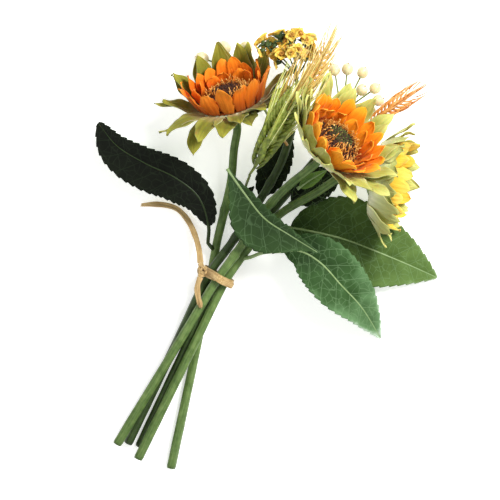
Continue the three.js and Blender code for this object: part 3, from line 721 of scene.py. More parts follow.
flowerHeads = {
    # rises in degrees at a base and a tip, at eight places round the head from its floor side,
    # and the share of the full sepal length at the same places
    "flower_left": {
        # this flower's petals take the orange painted darker: painted shade
        "centre": (-13, 103, 31), "axis": (-0.22, 0.87, 0.44), "petal": "shadedOrange", "sepal": "olive", "seed": 1,
        "sepalRise": [(62, 84), (56, 76), (30, 24), (0, -36), (4, -16), (10, 28), (28, 44), (54, 74)],
        "sepalReach": [1.16, 1.1, 1, 1.05, 0.7, 0.72, 0.9, 1.1],
        "petalRise": [(84, 104), (76, 94), (60, 74), (60, 70), (62, 68), (60, 70), (60, 74), (76, 94)],
    },
    "flower_front": {
        "centre": (55, 70, 67), "axis": (0.557, 0.598, 0.574), "petal": "orange", "sepal": "pale", "seed": 5,
        "sepalRise": [(60, 74), (48, 64), (46, 64), (44, 60), (34, 48), (14, 6), (32, 44), (56, 70)],
        "sepalReach": [1.12, 1.06, 1, 0.95, 0.85, 0.9, 1, 1.1],
        "petalRise": [(80, 92), (76, 90), (72, 84), (66, 76), (56, 64), (52, 60), (56, 66), (70, 84)],
    },
    "flower_right": {
        "centre": (88, 51, 32.5), "axis": (0.96, -0.2, 0.12), "petal": "yellow", "sepal": "pale", "seed": 9,
        "sepalRise": [(76, 90), (56, 72), (40, 56), (62, 76), (68, 82), (58, 72), (34, 48), (54, 70)],
        "sepalReach": [1, 1, 0.85, 0.55, 0.5, 0.75, 1, 1],
        "petalRise": [(88, 97), (74, 82), (68, 76), (77, 86), (82, 90), (74, 84), (64, 74), (74, 82)],
    },
}
headBuild = {
    "ringPitch": 1.15,
    "calyxHeight": 10.0,
    "calyxRadius": 14.0,
    "calyxTop": -0.6,
    "socketGap": 0.35,         # between a stem's end and the socket's floor
    "socketRun": 7,            # straight run of a stem into its head
    "discRadius": 18.5,
    "discBase": 4.05,
    "discHeight": 10.0,
}


def behindHead(name, extra):
    head = flowerHeads[name]
    depth = headBuild["calyxHeight"] - headBuild["calyxTop"] + headBuild["socketGap"] + extra
    return Vector(head["centre"]) - Vector(head["axis"]).normalized() * depth


pitch = stem["pitch"]
stemRoutes = {
    # bundle: share of the cut length, step across in pitches, height; then the points above the tie
    "stem_flower_left": {
        "bundle": [(1, 3.5, onFloor), (0.35, 0.87, onFloor + 0.3), (0, -0.63, 0.75 * pitch)],
        "upper": [(-23.6, 7, 7.5), (-18, 30, 12), (-13.4, 51, 16), (-11.4, 72, 19)],
        "head": "flower_left", "joints": [0.74], "look": "stem"},
    "stem_flower_front": {
        "bundle": [(1, -2.3, 1.42 * pitch), (0.35, -0.68, 2.55 * pitch), (0, 0.19, 3.15 * pitch)],
        "upper": [(-9.2, -1.4, 26.5), (3.5, 18.4, 30), (15.6, 33.9, 35), (28, 46, 42)],
        "head": "flower_front", "joints": [0.62, 0.8], "look": "stem"},
    "stem_flower_right": {
        "bundle": [(1.02, 0.17, 1.8 * pitch), (0.35, 0.68, 2.22 * pitch), (0, 0.96, 2.43 * pitch)],
        "upper": [(-6.4, -5.7, 18.5), (8.6, 12.9, 20), (23.6, 27.1, 22.5), (46, 40, 26)],
        "head": "flower_right", "joints": [0.7], "look": "stem"},
    "stem_blossoms": {
        "bundle": [(0.98, -1.35, onFloor), (0.35, -0.98, 1.39 * pitch), (0, -0.79, 1.8 * pitch)],
        "upper": [(-14, 4, 14.5), (0, 25, 16.5), (11.5, 43, 17.5), (22.9, 64.4, 18.5), (30, 86, 19.5)],
        "head": None, "joints": [0.66, 0.84], "look": "darkStem"},
    "stem_berries": {
        "bundle": [(0.97, -0.2, onFloor), (0.35, 0.06, 1.43 * pitch), (0, 0.2, 1.57 * pitch)],
        "upper": [(-7.2, 0, 9), (10.8, 21.6, 8.5), (28.8, 43.2, 8), (46.8, 64.8, 8)],
        "head": None, "joints": [0.72], "look": "darkStem"},
}


def makeStem(name):
    run = stemRoutes[name]
    route = []
    for share, across, height in run["bundle"]:
        spot = (Vector((*tie["centre"], 0)) + tieDown * share * stem["cutLength"]
                + tieAcross * across * pitch)
        route.append((spot.x, spot.y, height))
    route += run["upper"]
    if run["head"]:
        route += [behindHead(run["head"], headBuild["socketRun"]), behindHead(run["head"], 0)]
    line = evenly(places(curvePoints(route, 24 * (len(route) - 1))), stem["rings"])
    rng = random.Random(len(name) * 31)
    phase = rng.uniform(0, 6)
    store = newStore()
    rings = []
    for point, side, up, travelled, share in alongLine(line):
        travelled *= 1000
        taper = 1 + (stem["topTaper"] - 1) * share
        joints = sum(math.exp(-((share - at) * stem["collarSharp"]) ** 2) for at in run["joints"])
        rounded = 0.0 if rings else stem["endRound"]
        ring = []
        for angle in turns(stem["sides"]):
            ridge = math.sin(5 * angle + phase + share * 3) + 0.6 * math.sin(11 * angle + phase)
            lump = noise.noise(Vector((math.cos(angle), math.sin(angle), travelled * 0.08)))
            radius = (onFloor * taper - stem["shy"] + stem["ridge"] * ridge + stem["lump"] * lump
                      + stem["collar"] * joints - rounded) / 1000
            ring.append((point + aimed(side, up, angle) * radius,
                         (radius * 1000 * abs(angle - math.pi), travelled / 100, rng.random() * 0.02)))
        rings.append(ring)
    addSolid(store, rings, 0, startSlot=1)
    # the end of the wire that the plastic is moulded over
    core = (line[0] - line[1]).normalized()
    addTube(store, [line[0] - core * 0.001, line[0] + core * 0.0002], [stem["wireRadius"]] * 2, slot=2)
    settle(finishMesh(name, store, [run["look"], "calyx", "wire"]), name)


for stemName in stemRoutes:
    makeStem(stemName)
print("stems made:", len(stemRoutes))


# flower heads
def headFrame(head):
    face = Vector(head["axis"]).normalized()
    floorward = (Vector((0, 0, -1)) + face * face.z).normalized()
    return face, floorward, face.cross(floorward)


def headPoint(head, radius, angle, height):
    face, floorward, side = headFrame(head)
    return place(Vector(head["centre"]) + aimed(floorward, side, angle) * radius + face * height)


def headRow(head, radius, height, count, cut):
    # a ring of points round the head, turned so that the faces between two rows look outward
    return [(headPoint(head, radius, -angle, height), cut) for angle in turns(count)]


def roundHead(corners, angle):
    # the values at one place round the head, between those given at equal steps from the floor side
    count = len(corners)
    turn = (angle * count / (2 * math.pi)) % count
    low = int(turn) % count
    share = (1 - math.cos(math.pi * (turn - int(turn)))) / 2
    return [a + (b - a) * share for a, b in zip(corners[low], corners[(low + 1) % count])]


sepalUsual = {"width": 18, "rows": 22, "columns": 15, "camber": 1.4, "wave": 1.6, "groove": 0.3,
              "curl": (-34, 14), "twist": 18}
petalUsual = {"width": 12.0, "rows": 18, "columns": 13, "camber": 1.3, "wave": 1.1, "groove": 0.22,
              "curl": (-40, 30), "twist": 22}
ringShape = {
    # hub radius, length and width in mm; closing in degrees at base and tip
    "sepals_outer": {**sepalUsual, "count": 13, "hub": 25.5, "length": 32, "closing": (0, 0),
                     "width": 19, "rows": 24, "wave": 1.7, "twist": 16},
    "sepals_inner": {**sepalUsual, "count": 12, "hub": 24.7, "length": 30, "closing": (7, 10)},
    "petals_outer": {**petalUsual, "count": 17, "hub": 24.0, "length": 24, "closing": (0, 0)},
    "petals_inner": {**petalUsual, "count": 13, "hub": 21.2, "length": 16, "closing": (7, 6),
                     "width": 10.8, "rows": 16, "camber": 1.4, "curl": (-10, 50), "twist": 26},
}
ringCloth = {
    "thickness": 0.3,          # mm, starched cloth
    "rootRun": 7.0,            # mm of each petal that is one with the ring's hub
    "hubHole": 3.6,
    "hubStep": 1.5,            # the hub ends this much inside the petals' roots
    "hubSides": 48,
}


def petalOutline(along):
    return math.sin(math.pi * min(1, 0.18 + 0.82 * along) ** 1.25) ** 0.55 if along < 1 else 0.0


def sepalOutline(along):
    return (1 - along) ** 0.9 * (0.72 + 1.25 * along) / 0.87


def addPetal(store, head, shape, outline, level, angle, rise, size, rng):
    # one petal: it leaves the ring's hub at the base rise and bends to the tip rise
    face, floorward, side = headFrame(head)
    tone = rng.random()
    rollTwist = math.radians(rng.uniform(-1, 1) * shape["twist"])
    lean = math.radians(rng.uniform(-1, 1) * 0.35 * shape["twist"])
    swing = rng.uniform(-1, 1) * 0.07
    curl = rng.uniform(*shape["curl"])
    ripple = [rng.uniform(0, 6.28) for _ in range(4)]
    base, tip = rise
    inner = ringCloth["rootRun"]
    out, high = shape["hub"] - inner, level
    total = inner + size
    outDirection = aimed(floorward, side, angle)
    across = face.cross(outDirection)
    rows = []
    for i in range(shape["rows"] + 1):
        travelled = total * i / shape["rows"]
        along = min(1.0, max(0.0, (travelled - inner) / size))
        bending = 0 if travelled < inner - 1.5 else min(1, (travelled - inner + 1.5) / 3)
        degrees = bending * (base + (tip - base) * along) + curl * max(0, along - 0.7) / 0.3
        slope = math.radians(degrees)
        if i:
            out += total / shape["rows"] * math.cos(slope)
            high += total / shape["rows"] * math.sin(slope)
        normal = face * math.cos(slope) - outDirection * math.sin(slope)
        roll = lean + rollTwist * along
        sideways = aimed(across, normal, roll)
        facing = normal * math.cos(roll) - across * math.sin(roll)
        half = shape["width"] / 2 * outline(along) * (0.72 + 0.28 * min(1, travelled / inner))
        bend = swing * size * along * along
        row = []
        for j in range(shape["columns"]):
            u = 1 - 2 * j / (shape["columns"] - 1)
            ragged = 1 + 0.05 * math.sin(along * 17 + ripple[0] * (2 if u > 0 else 1))
            reach = u * half * ragged
            cupped = math.sin(math.pi * min(1, along + 0.15)) * (half / shape["width"] * 2)
            waved = math.sin(along * 9 + (ripple[1] if u > 0 else ripple[2]))
            grooved = math.cos(u * 3.2 * math.pi) * min(1, 4 * (1 - along)) * (1 - u * u)
            lift = shape["camber"] * u * u * cupped
            lift += shape["wave"] * abs(u) ** 1.6 * along * waved
            lift -= shape["groove"] * grooved
            spot = outDirection * out + face * high + sideways * (reach + bend) + facing * lift
            row.append((place(Vector(head["centre"]) + spot), (reach, along, tone)))
        rows.append(row)
    addGrid(store, rows)


def makeRing(headName, ringName, level):
    head = flowerHeads[headName]
    shape = ringShape[ringName]
    rng = random.Random(head["seed"] * 100 + level)
    high = headBuild["ringPitch"] * level
    store = newStore()
    inside, outside = ringCloth["hubHole"], shape["hub"] - ringCloth["hubStep"]
    rows = []
    for radius in (outside, (inside + outside) / 2, inside):
        rows.append([(headPoint(head, radius, -angle, high), (radius * angle, 0.02, 0.3))
                     for angle in turns(ringCloth["hubSides"])])
    addGrid(store, rows, closed=True)
    if ringName.startswith("sepals"):
        outline, rises, sizes = sepalOutline, head["sepalRise"], (0.84, 1.06)
        pair, slotName = [head["sepal"] + "Sepal", head["sepal"] + "Back"], "sepal_fabric"
    else:
        outline, rises, sizes = petalOutline, head["petalRise"], (0.78, 1.06)
        pair = [head["petal"] + "Petal", head["petal"] + "Back"]
        slotName = "petal_yellow" if head["petal"] == "yellow" else "petal_orange"
    for k in range(shape["count"]):
        angle = 2 * math.pi * (k + rng.uniform(-0.16, 0.16)) / shape["count"]
        base, tip = roundHead(rises, angle)
        rise = (base + shape["closing"][0] + rng.uniform(-4, 4),
                tip + shape["closing"][1] + rng.uniform(-7, 7))
        size = shape["length"] * rng.uniform(*sizes)
        if outline is sepalOutline:
            size *= roundHead([(share,) for share in head["sepalReach"]], angle)[0]
        addPetal(store, head, shape, outline, high, angle, rise, size, rng)
    name = headName + "_" + ringName
    settle(finishMesh(name, store, pair, ringCloth["thickness"] / 1000), name)


discLook = {
    "domeRows": 14,
    "domeSides": 40,
    "pegs": 260,
    "pegRadius": 0.00055,      # metres
    "pegHeight": (1.0, 2.2),
    "bristles": 240,           # long ones, round the rim
    "bristleRadius": 0.00024,  # metres
    "bristleLength": (3.0, 6.5),
    "greenCentre": ("flower_front",),
    "greenShare": 0.52,        # of the disc's radius
}


def domeHeight(radius):
    share = radius / headBuild["discRadius"]
    crown = max(0.0, 1 - share ** 2.6) * (0.85 + 0.15 * min(1, share * 2))
    return headBuild["discBase"] + headBuild["discHeight"] * crown


def makeDisc(headName):
    head = flowerHeads[headName]
    face, floorward, side = headFrame(head)
    rng = random.Random(head["seed"] * 7)
    store = newStore()
    count = discLook["domeSides"]
    rows = [headRow(head, headBuild["discRadius"], headBuild["discBase"] - 0.3, count, (16, 0, 0.1))]
    for i in range(discLook["domeRows"] + 1):
        radius = headBuild["discRadius"] * (1 - i / discLook["domeRows"] * 0.98)
        rows.append(headRow(head, radius, domeHeight(radius), count, (radius, 0.1, 0.2)))
    addSolid(store, rows)
    golden = math.pi * (3 - math.sqrt(5))
    size = discLook["pegRadius"]
    for k in range(discLook["pegs"]):
        share = math.sqrt((k + 0.5) / discLook["pegs"])
        radius = share * (headBuild["discRadius"] - 0.6)
        angle = k * golden
        start = headPoint(head, radius, angle, domeHeight(radius) - 0.3)
        tall = rng.uniform(*discLook["pegHeight"]) / 1000
        wander = Vector([rng.uniform(-0.15, 0.15) for _ in range(3)])
        tip = start + (face + aimed(floorward, side, angle) * 0.35 * share + wander) * tall
        green = headName in discLook["greenCentre"] and share < discLook["greenShare"]
        addTube(store, [start, start.lerp(tip, 0.6), tip], [size, size * 0.9, size * 0.35], sides=6,
                slot=1 if green else 0, tone=rng.random())
    size = discLook["bristleRadius"]
    for k in range(discLook["bristles"]):
        radius = headBuild["discRadius"] * rng.uniform(0.55, 1.0)
        angle = rng.uniform(0, 2 * math.pi)
        start = headPoint(head, radius, angle, domeHeight(radius))
        wander = Vector([rng.uniform(-0.5, 0.5) for _ in range(3)])
        tall = rng.uniform(*discLook["bristleLength"]) / 1000
        middle = start + (face + wander * 0.5) * tall * 0.55
        inward = aimed(floorward, side, angle) * rng.uniform(-0.4, 0.8)
        tip = middle + (face * 0.5 - inward + wander) * tall * 0.5
        addTube(store, evenly(curvePoints([start, middle, tip], 8), 5), [size] * 4 + [size * 1.7],
                sides=5, slot=2, tone=rng.random())
    name = headName + "_disc"
    settle(finishMesh(name, store, ["discDark", "discGreen", "filament"]), name)


calyxRibs = {"count": 10, "depth": 0.035, "from": 4, "sides": 60}


def makeCalyx(headName):
    head = flowerHeads[headName]
    top, height, wide = headBuild["calyxTop"], headBuild["calyxHeight"], headBuild["calyxRadius"]
    profile = [(0.2, top - height), (4.0, top - height), (4.4, top - height * 0.85),
               (4.9, top - height * 0.6), (7.2, top - height * 0.42), (wide * 0.75, top - height * 0.25),
               (wide * 0.92, top - height * 0.1), (wide, top - 0.3), (wide - 0.4, top),
               (wide * 0.5, top), (0.2, top)]
    store = newStore()
    rows = []
    for radius, high in profile:
        row = []
        for angle in turns(calyxRibs["sides"]):
            risen = min(1, max(0, radius - calyxRibs["from"]) / 4)
            rib = 1 + calyxRibs["depth"] * math.cos(calyxRibs["count"] * angle) * risen
            row.append((headPoint(head, radius * rib, angle, high), (radius * angle, high / 40, 0.4)))
        rows.append(row)
    addSolid(store, rows)
    name = headName + "_calyx"
    settle(finishMesh(name, store, ["calyx"]), name)


for headName in flowerHeads:
    for ringLevel, ringName in enumerate(ringShape):
        makeRing(headName, ringName, ringLevel)
    makeDisc(headName)
    makeCalyx(headName)
print("flower heads made:", len(flowerHeads))


# leaves
leafUsual = {
    "petiole": 0.05,           # share of the length before the blade starts
    "facing": [(0, 0, 1), (0, 0, 1)],      # at base and tip
    "fold": (0.05, 0.05),      # rise of the left and right halves for each mm outward
    "pale": (0.3, 0.2),        # how much paler the edge and the tip are; the paler tip is a painted sheen
    "base": 0.1,               # tone of the middle
    "sides": (1, 1),           # share of the half width on each side
    "belly": (0.72, 0.72),     # under 1 is widest nearer the base
    "full": 0.85,              # under 1 is fuller towards both ends
    "foot": None,              # where a petiole hooks onto its stem
    "rib": "calyx",
}
leafShape = {
    "leaf_left": {
        "route": [(-30.5, 5, 10), (-30, 18, 14), (-37, 38, 18), (-54, 52, 19), (-75, 62, 18), (-96, 75, 14),
                  (-110, 92, 8)],
        "half": 18, "petiole": 0.1, "facing": [(-0.3, -0.1, 1), (-0.4, -0.2, 1)], "fold": (0.1, 0.1),
        "pale": (0.25, 0.1), "sides": (0.75, 1.05), "belly": (0.75, 1.15), "full": 0.55,
        "foot": (-26.6, 0.5, 9), "rib": "darkStem"},
    "leaf_front": {
        "route": [(-16, 57, 43), (-4, 40, 45), (10.5, 22, 44.5), (27, 11, 46), (47, -1.4, 49)],
        "half": 13, "petiole": 0, "facing": [(0.2, 0.2, 1), (0, 0.3, 1)], "fold": (-0.42, 0.5),
        "pale": (0.35, 0.15), "base": 0.3, "sides": (1.62, 0.45), "belly": (1, 1), "full": 1.35},
    "leaf_lower_right": {
        "route": [(1, -5, 22.5), (9, -2, 25), (22, -1, 26), (36, -1, 27), (50, -9, 27), (65, -25, 24),
                  (80, -41, 17), (95, -64, 3)],
        "half": 20, "petiole": 0.19, "facing": [(0, 0, 1), (0.3, 0, 1)], "fold": (0.12, 0.12),
        # a strong painted sheen towards the tip
        "pale": (0.3, 0.72), "foot": (-4.6, -6.2, 19.5)},
    "leaf_right": {
        "route": [(22, 17, 14), (36, 15, 13.5), (67, 8, 11), (106, -7, 7), (136, -20, 2.5)],
        # a strong painted sheen towards the tip
        "half": 31, "petiole": 0.06, "fold": (0.03, 0.03), "pale": (0.2, 0.7)},
    "leaf_under_stems": {
        "route": [(28, 33, 15.5), (45, 45, 16.5), (72, 62, 13.5)], "half": 12, "rib": "darkStem"},
    "leaf_behind": {"route": [(6, 36, 9.5), (19, 62, 9.5), (30, 92, 5)], "half": 11, "rib": "darkStem"},
    "leaf_small": {
        "route": [(33.5, 43, 33.5), (42, 49, 35), (54, 56, 38)], "half": 4.5, "petiole": 0.08,
        "facing": [(0.2, -0.3, 1), (0.2, -0.3, 1)], "fold": (0.1, 0.1)},
    "leaf_sliver": {
        "route": [(-11.5, 22, 14), (-8, 34, 15), (3, 46, 11)], "half": 5, "petiole": 0.08,
        "rib": "darkStem"},
}
leafEdge = {
    "toothPitch": 5.8,         # mm along the edge
    "toothDepth": 1.3,
    "rowStep": 0.8,            # mm between rows of the blade's mesh
    "columns": 25,
    "pucker": 0.55,            # mm that the blade rises between its side veins
    "wave": 1.5,               # mm that the edge waves
    "ribGroove": 0.5,
    "ribRadius": 0.9,
    "ribDrop": 0.45,           # the rib's middle lies this far under the blade
    "thickness": 0.35,
    "smallHalf": 8,            # a leaf narrower than this has finer teeth and puckers
}


def makeLeaf(name):
    shape = {**leafUsual, **leafShape[name]}
    rough = curvePoints(shape["route"], 30 * (len(shape["route"]) - 1))
    length = sum((b - a).length for a, b in zip(rough, rough[1:]))
    count = int(length / leafEdge["rowStep"]) + 1
    line = evenly(rough, count)
    looksTo = [Vector(v) for v in shape["facing"]]
    rng = random.Random(sum(ord(c) for c in name))
    phases = [rng.uniform(0, 6.28) for _ in range(2)]
    small = shape["half"] < leafEdge["smallHalf"]
    depth = leafEdge["toothDepth"] * (0.35 if small else 1)
    rows, ribLine, ribRadii = [], [], []
    for i, spot in enumerate(line):
        along = i / (count - 1)
        travelled = length * along
        onBlade = (along - shape["petiole"]) / (1 - shape["petiole"])
        tangent = (line[min(i + 1, count - 1)] - line[max(i - 1, 0)]).normalized()
        side = looksTo[0].lerp(looksTo[1], along).cross(tangent).normalized()
        up = tangent.cross(side).normalized()
        ribLine.append(place(spot - up * leafEdge["ribDrop"]))
        ribTaper = 1.5 if onBlade <= 0 else 1.15 - 0.9 * along
        ribRadii.append(max(0.25, leafEdge["ribRadius"] * ribTaper) / 1000)
        if onBlade < -0.005:
            continue
        halves = []
        for sideShare, belly in zip(shape["sides"], shape["belly"]):
            swell = math.sin(math.pi * onBlade ** belly) ** shape["full"] if 0 < onBlade < 1 else 0.0
            halves.append(max(0.35, shape["half"] * sideShare * swell))
        row = []
        for j in range(leafEdge["columns"]):
            u = 2 * j / (leafEdge["columns"] - 1) - 1
            hand = 0 if u > 0 else 1
            half = halves[hand]
            edgeShare = abs(u) ** 5
            saw = (travelled / leafEdge["toothPitch"] + (0.5 if u > 0 else 0)) % 1
            tooth = depth * (saw ** 1.4) * min(1, half / 5) * edgeShare
            reach = math.copysign(max(0, abs(u) * half - tooth + depth * 0.5 * edgeShare), u)
            slanted = (travelled - leafVeins["slant"] * abs(reach)) / leafVeins["sideMm"]
            between = math.sin(math.pi * (slanted % 1)) * min(1, abs(reach) / 4) * (1 - abs(u) ** 4)
            waved = abs(u) ** 2 * math.sin(travelled / 11 + phases[hand]) * min(1, half / 12)
            lift = (shape["fold"][hand] * abs(reach) + leafEdge["pucker"] * between * (0.4 if small else 1)
                    + leafEdge["wave"] * waved - leafEdge["ribGroove"] * math.exp(-(reach / 0.9) ** 2))
            # paler towards the edge, and towards the tip as a painted sheen
            tone = shape["base"] + shape["pale"][0] * abs(u) ** 2.2 + shape["pale"][1] * along ** 2
            row.append((place(spot + side * -reach + up * lift), (reach, travelled, tone)))
        rows.append(row)
    store, ribStore = newStore(), newStore()
    addGrid(store, rows)
    blade = finishMesh(name, store, [name, "leafBack"], leafEdge["thickness"] / 1000)
    kept = list(range(0, count, 4))
    if kept[-1] != count - 1:
        kept.append(count - 1)
    ribLine, ribRadii = [ribLine[k] for k in kept], [ribRadii[k] for k in kept]
    if shape["foot"]:
        foot = Vector(shape["foot"])
        ribLine = places([foot, foot.lerp(line[0], 0.5)]) + ribLine
        ribRadii = [ribRadii[0] * 1.1] * 2 + ribRadii
    addTube(ribStore, ribLine, ribRadii, sides=12)
    settle(finishMesh(name + "_rib", ribStore, [shape["rib"]]), name)
    settle(blade, name)


for leafName in leafShape:
    makeLeaf(leafName)
print("leaves made:", len(leafShape))


# cereal ears
earShape = {
    # bend is the stalk's route down from the ear's foot; florets is how many stand in each row
    "ear_green": {
        "from": (3, 57, 58), "to": (35, 113, 76), "radius": 9.5,
        "bend": [(0, 53, 52), (-0.5, 51.5, 43), (-3, 45, 33), (-4.5, 35, 26), (-2, 25.5, 22)],
        "florets": 15, "floretLength": 14, "floretWidth": 6.0, "awn": (28, 50), "spread": 0.2, "seed": 3,
        "looks": ["earGreen", "awnGreen", "awnGold"], "slot": "ear_green_plastic"},
    "ear_gold": {
        "from": (31, 96, 47), "to": (56, 146, 50), "radius": 4.0,
        "bend": [(26, 86, 43), (24, 79, 35), (26.5, 75, 24.5)],
        "florets": 13, "floretLength": 9, "floretWidth": 3.6, "awn": (14, 24), "spread": 0.2, "seed": 4,
        "looks": ["earGold", "awnGold", "awnGold"], "slot": "ear_gold_plastic"},
    "ear_brown": {
        "from": (84, 90, 36), "to": (116, 111, 42), "radius": 3.4,
        "bend": [(77, 85.5, 33.5), (66, 79, 27), (55, 72, 18), (46, 64.5, 13.5)],
        "florets": 10, "floretLength": 11, "floretWidth": 3.0, "awn": (10, 18), "spread": 0.14, "seed": 5,
        "looks": ["earBrown", "earBrown", "earBrown"], "slot": "ear_gold_plastic"},
}
earBuild = {
    "rows": 4,                 # of florets round the ear
    "stalkRadius": 0.001,      # metres
    "axisTip": 0.0006,
    "awnRadii": [0.00045, 0.0004, 0.00034, 0.00028, 0.0002, 0.00006],
    "twoAwns": 0.45,           # share of the florets that carry a second awn
    "huskRings": 7,
    "huskSides": 10,
}


def addFloret(store, start, direction, outward, length, width, slot, tone):
    # a pointed husk, keeled on its outer side
    side = direction.cross(outward).normalized()
    lift = side.cross(direction).normalized()
    rings = []
    for i in range(earBuild["huskRings"] + 1):
        along = i / earBuild["huskRings"]
        size = width / 2 * math.sin(math.pi * (0.08 + 0.92 * along) ** 0.75) ** 0.8 if along < 1 else 0.05
        centre = start + direction * (length * along) + lift * (0.12 * length * math.sin(math.pi * along))
        ring = []
        for j, angle in enumerate(turns(earBuild["huskSides"])):
            keel = 1.25 if j in (2, 3) else 1.0
            point = centre + side * (size * math.cos(angle)) + lift * (size * 0.55 * keel * math.sin(angle))
            ring.append((place(point), (size * angle, along, tone)))
        rings.append(ring)
    addSolid(store, rings, slot)


def makeEar(name):
    shape = earShape[name]
    start, end = Vector(shape["from"]), Vector(shape["to"])
    axis = (end - start).normalized()
    length = (end - start).length
    sideA = axis.cross(Vector((0, 0, 1))).normalized()
    sideB = sideA.cross(axis).normalized()
    rng = random.Random(shape["seed"])
    store = newStore()
    stalk = evenly(curvePoints([start + axis * length * 0.05, start, *shape["bend"]], 60), 24)
    addTube(store, places(stalk), [earBuild["stalkRadius"]] * 24, sides=8, tone=0.3)
    addTube(store, places([start, end - axis * length * 0.1]), [earBuild["stalkRadius"], earBuild["axisTip"]],
            sides=8, tone=0.3)
    usable = length - shape["floretLength"] * 0.75
    for row in range(earBuild["rows"]):
        for k in range(shape["florets"]):
            along = (k + row / earBuild["rows"]) / shape["florets"]
            turn = 2 * math.pi * row / earBuild["rows"] + rng.uniform(-0.25, 0.25)
            outward = aimed(sideA, sideB, turn)
            swell = math.sin(math.pi * (0.12 + 0.8 * along)) ** 0.6
            root = start + axis * (along * usable) + outward * (shape["radius"] * 0.28 * swell)
            direction = (axis + outward * (0.42 * swell)).normalized()
            size = shape["floretLength"] * (0.75 + 0.3 * swell)
            tone = min(1, 0.2 + 0.7 * along * rng.uniform(0.8, 1.2))
            addFloret(store, root, direction, outward, size, shape["floretWidth"] * swell, 0, tone)
            for _ in range(2 if rng.random() < earBuild["twoAwns"] else 1):
                tip = root + direction * size
                reach = rng.uniform(*shape["awn"]) * (1.1 - 0.35 * along)
                spread = shape["spread"] * rng.uniform(0.3, 1.3)
                mid = tip + (axis + outward * spread * 1.3) * reach * 0.5
                far = mid + (axis + outward * spread * rng.uniform(-0.4, 0.9)
                             + sideB * rng.uniform(-0.06, 0.06)) * reach * 0.5
                awn = places(evenly(curvePoints([tip, mid, far], 8), len(earBuild["awnRadii"])))
                addTube(store, awn, earBuild["awnRadii"], sides=5, slot=1 if along < 0.6 else 2,
                        tone=rng.random())
    settle(finishMesh(name, store, shape["looks"]), name)


for earName in earShape:
    makeEar(earName)
print("cereal ears made:", len(earShape))


# berries and small blossoms on their wires
sprayShape = {
    "berry_spray_left": {"label": "berry_left", "root": (14, 96, 5.5), "fork": (-6, 130, 4.9), "radius": 5.0,
                         "ends": [(-35, 139, 5.1), (-18.5, 147, 5.1), (-3, 146.5, 5.1)]},
    "berry_spray_right": {"label": "berry_right", "root": (55, 75, 9), "fork": (66, 98, 18), "radius": 4.3,
                          "ends": [(60, 128, 30), (69, 128, 35), (80, 126, 31), (89, 115, 29), (79, 113, 37),
                                   (86, 99, 22), (70, 104, 35), (91, 106, 33)]},
    "blossom_spray": {"label": "blossom", "root": (31.5, 90, 20), "fork": (33, 122, 44), "radius": 4.6,
                      "ends": [(9, 147, 36), (20, 151, 40), (31, 152, 43), (41, 149, 35), (30, 140, 49),
                               (20, 138, 45), (42, 138, 33)]},
}
sprayBuild = {
    "trunkRadius": 0.001,      # metres, wires twisted together
    "twigRadius": 0.00064,
    "tapeTurns": 26,           # winds of tape where the wires fork
    "tapeRadius": 0.0009,
    "berryRings": 12,
    "berrySides": 20,
    "blossomBack": 1.2,        # mm behind a blossom's middle where its wire ends
    "blossomPetals": 5,
    "stamens": 14,
    "clothThickness": 0.0002,
}


def makeBerry(name, centre, toward, radius, rng):
    side = toward.cross(Vector((0.3, 0.2, 1))).normalized()
    up = side.cross(toward)
    store = newStore()
    rings = []
    for i in range(sprayBuild["berryRings"] + 1):
        share = i / sprayBuild["berryRings"]
        polar = math.pi * (0.04 + 0.92 * share)
        along = -math.cos(polar) * radius * 1.06
        wide = math.sin(polar) * radius * 0.97
        dent = 0.5 * math.exp(-((polar - math.pi) / 0.35) ** 2)
        ring = []
        for angle in turns(sprayBuild["berrySides"]):
            lump = 1 + 0.03 * noise.noise(centre * 0.3 + Vector((math.cos(angle), math.sin(angle), polar)))
            point = centre + toward * (along - dent) + aimed(side, up, angle) * wide * lump
            ring.append((place(point), (wide * angle, share, rng.random() * 0.1 + 0.5)))
        rings.append(ring)
    addSolid(store, rings, 0, endSlot=1)
    # the dried point of the berry's tip
    addTube(store, places([centre + toward * (radius * 0.95), centre + toward * (radius * 1.1)]),
            [0.0005, 0.0002], sides=6, slot=1, tone=0.2)
    settle(finishMesh(name, store, ["berry", "blossomEye"]), name)


def addBlossom(store, centre, toward, radius, rng):
    # five petals, a tuft of stamens and the cup behind them
    side = toward.cross(Vector((0.3, 0.2, 1))).normalized()
    up = side.cross(toward)
    turn = rng.uniform(0, 1.2)
    for angle in turns(sprayBuild["blossomPetals"]):
        out = aimed(side, up, turn + angle)
        across = toward.cross(out)
        droop = rng.uniform(0.15, 0.6)
        tone = rng.random()
        rows = []
        for i in range(7):
            along = i / 6
            width = math.sin(math.pi * (0.12 + 0.88 * along) ** 0.85)
            half = radius * 0.56 * width ** 0.6 if along < 1 else 0.3
            row = []
            for j in range(5):
                u = 1 - j / 2
                lift = radius * (0.55 * along - droop * along ** 2.2 + 0.18 * u * u)
                reach = radius * 1.02 * along * (1 - 0.06 * u * u)
                spot = centre + out * reach + across * (u * half) + toward * lift
                row.append((place(spot), (u * half, along, 0.25 + 0.6 * along * tone)))
            rows.append(row)
        addGrid(store, rows)
    for k in range(sprayBuild["stamens"]):
        out = aimed(side, up, k * 2.4)
        reach = radius * 0.2 * math.sqrt(k / sprayBuild["stamens"])
        start = centre + out * reach + toward * (radius * 0.1)
        tip = start + (toward + out * 0.3) * (radius * 0.42)
        addTube(store, places([start, tip]), [0.00028, 0.0004], sides=5, slot=2, tone=rng.random())
    cup = centre - toward * (radius * 0.1)
    addTube(store, places([cup + toward * radius * share for share in (-0.5, -0.2, 0.15)]),
            [0.0007, 0.0013, 0.0016], sides=8, slot=3, tone=0.6)


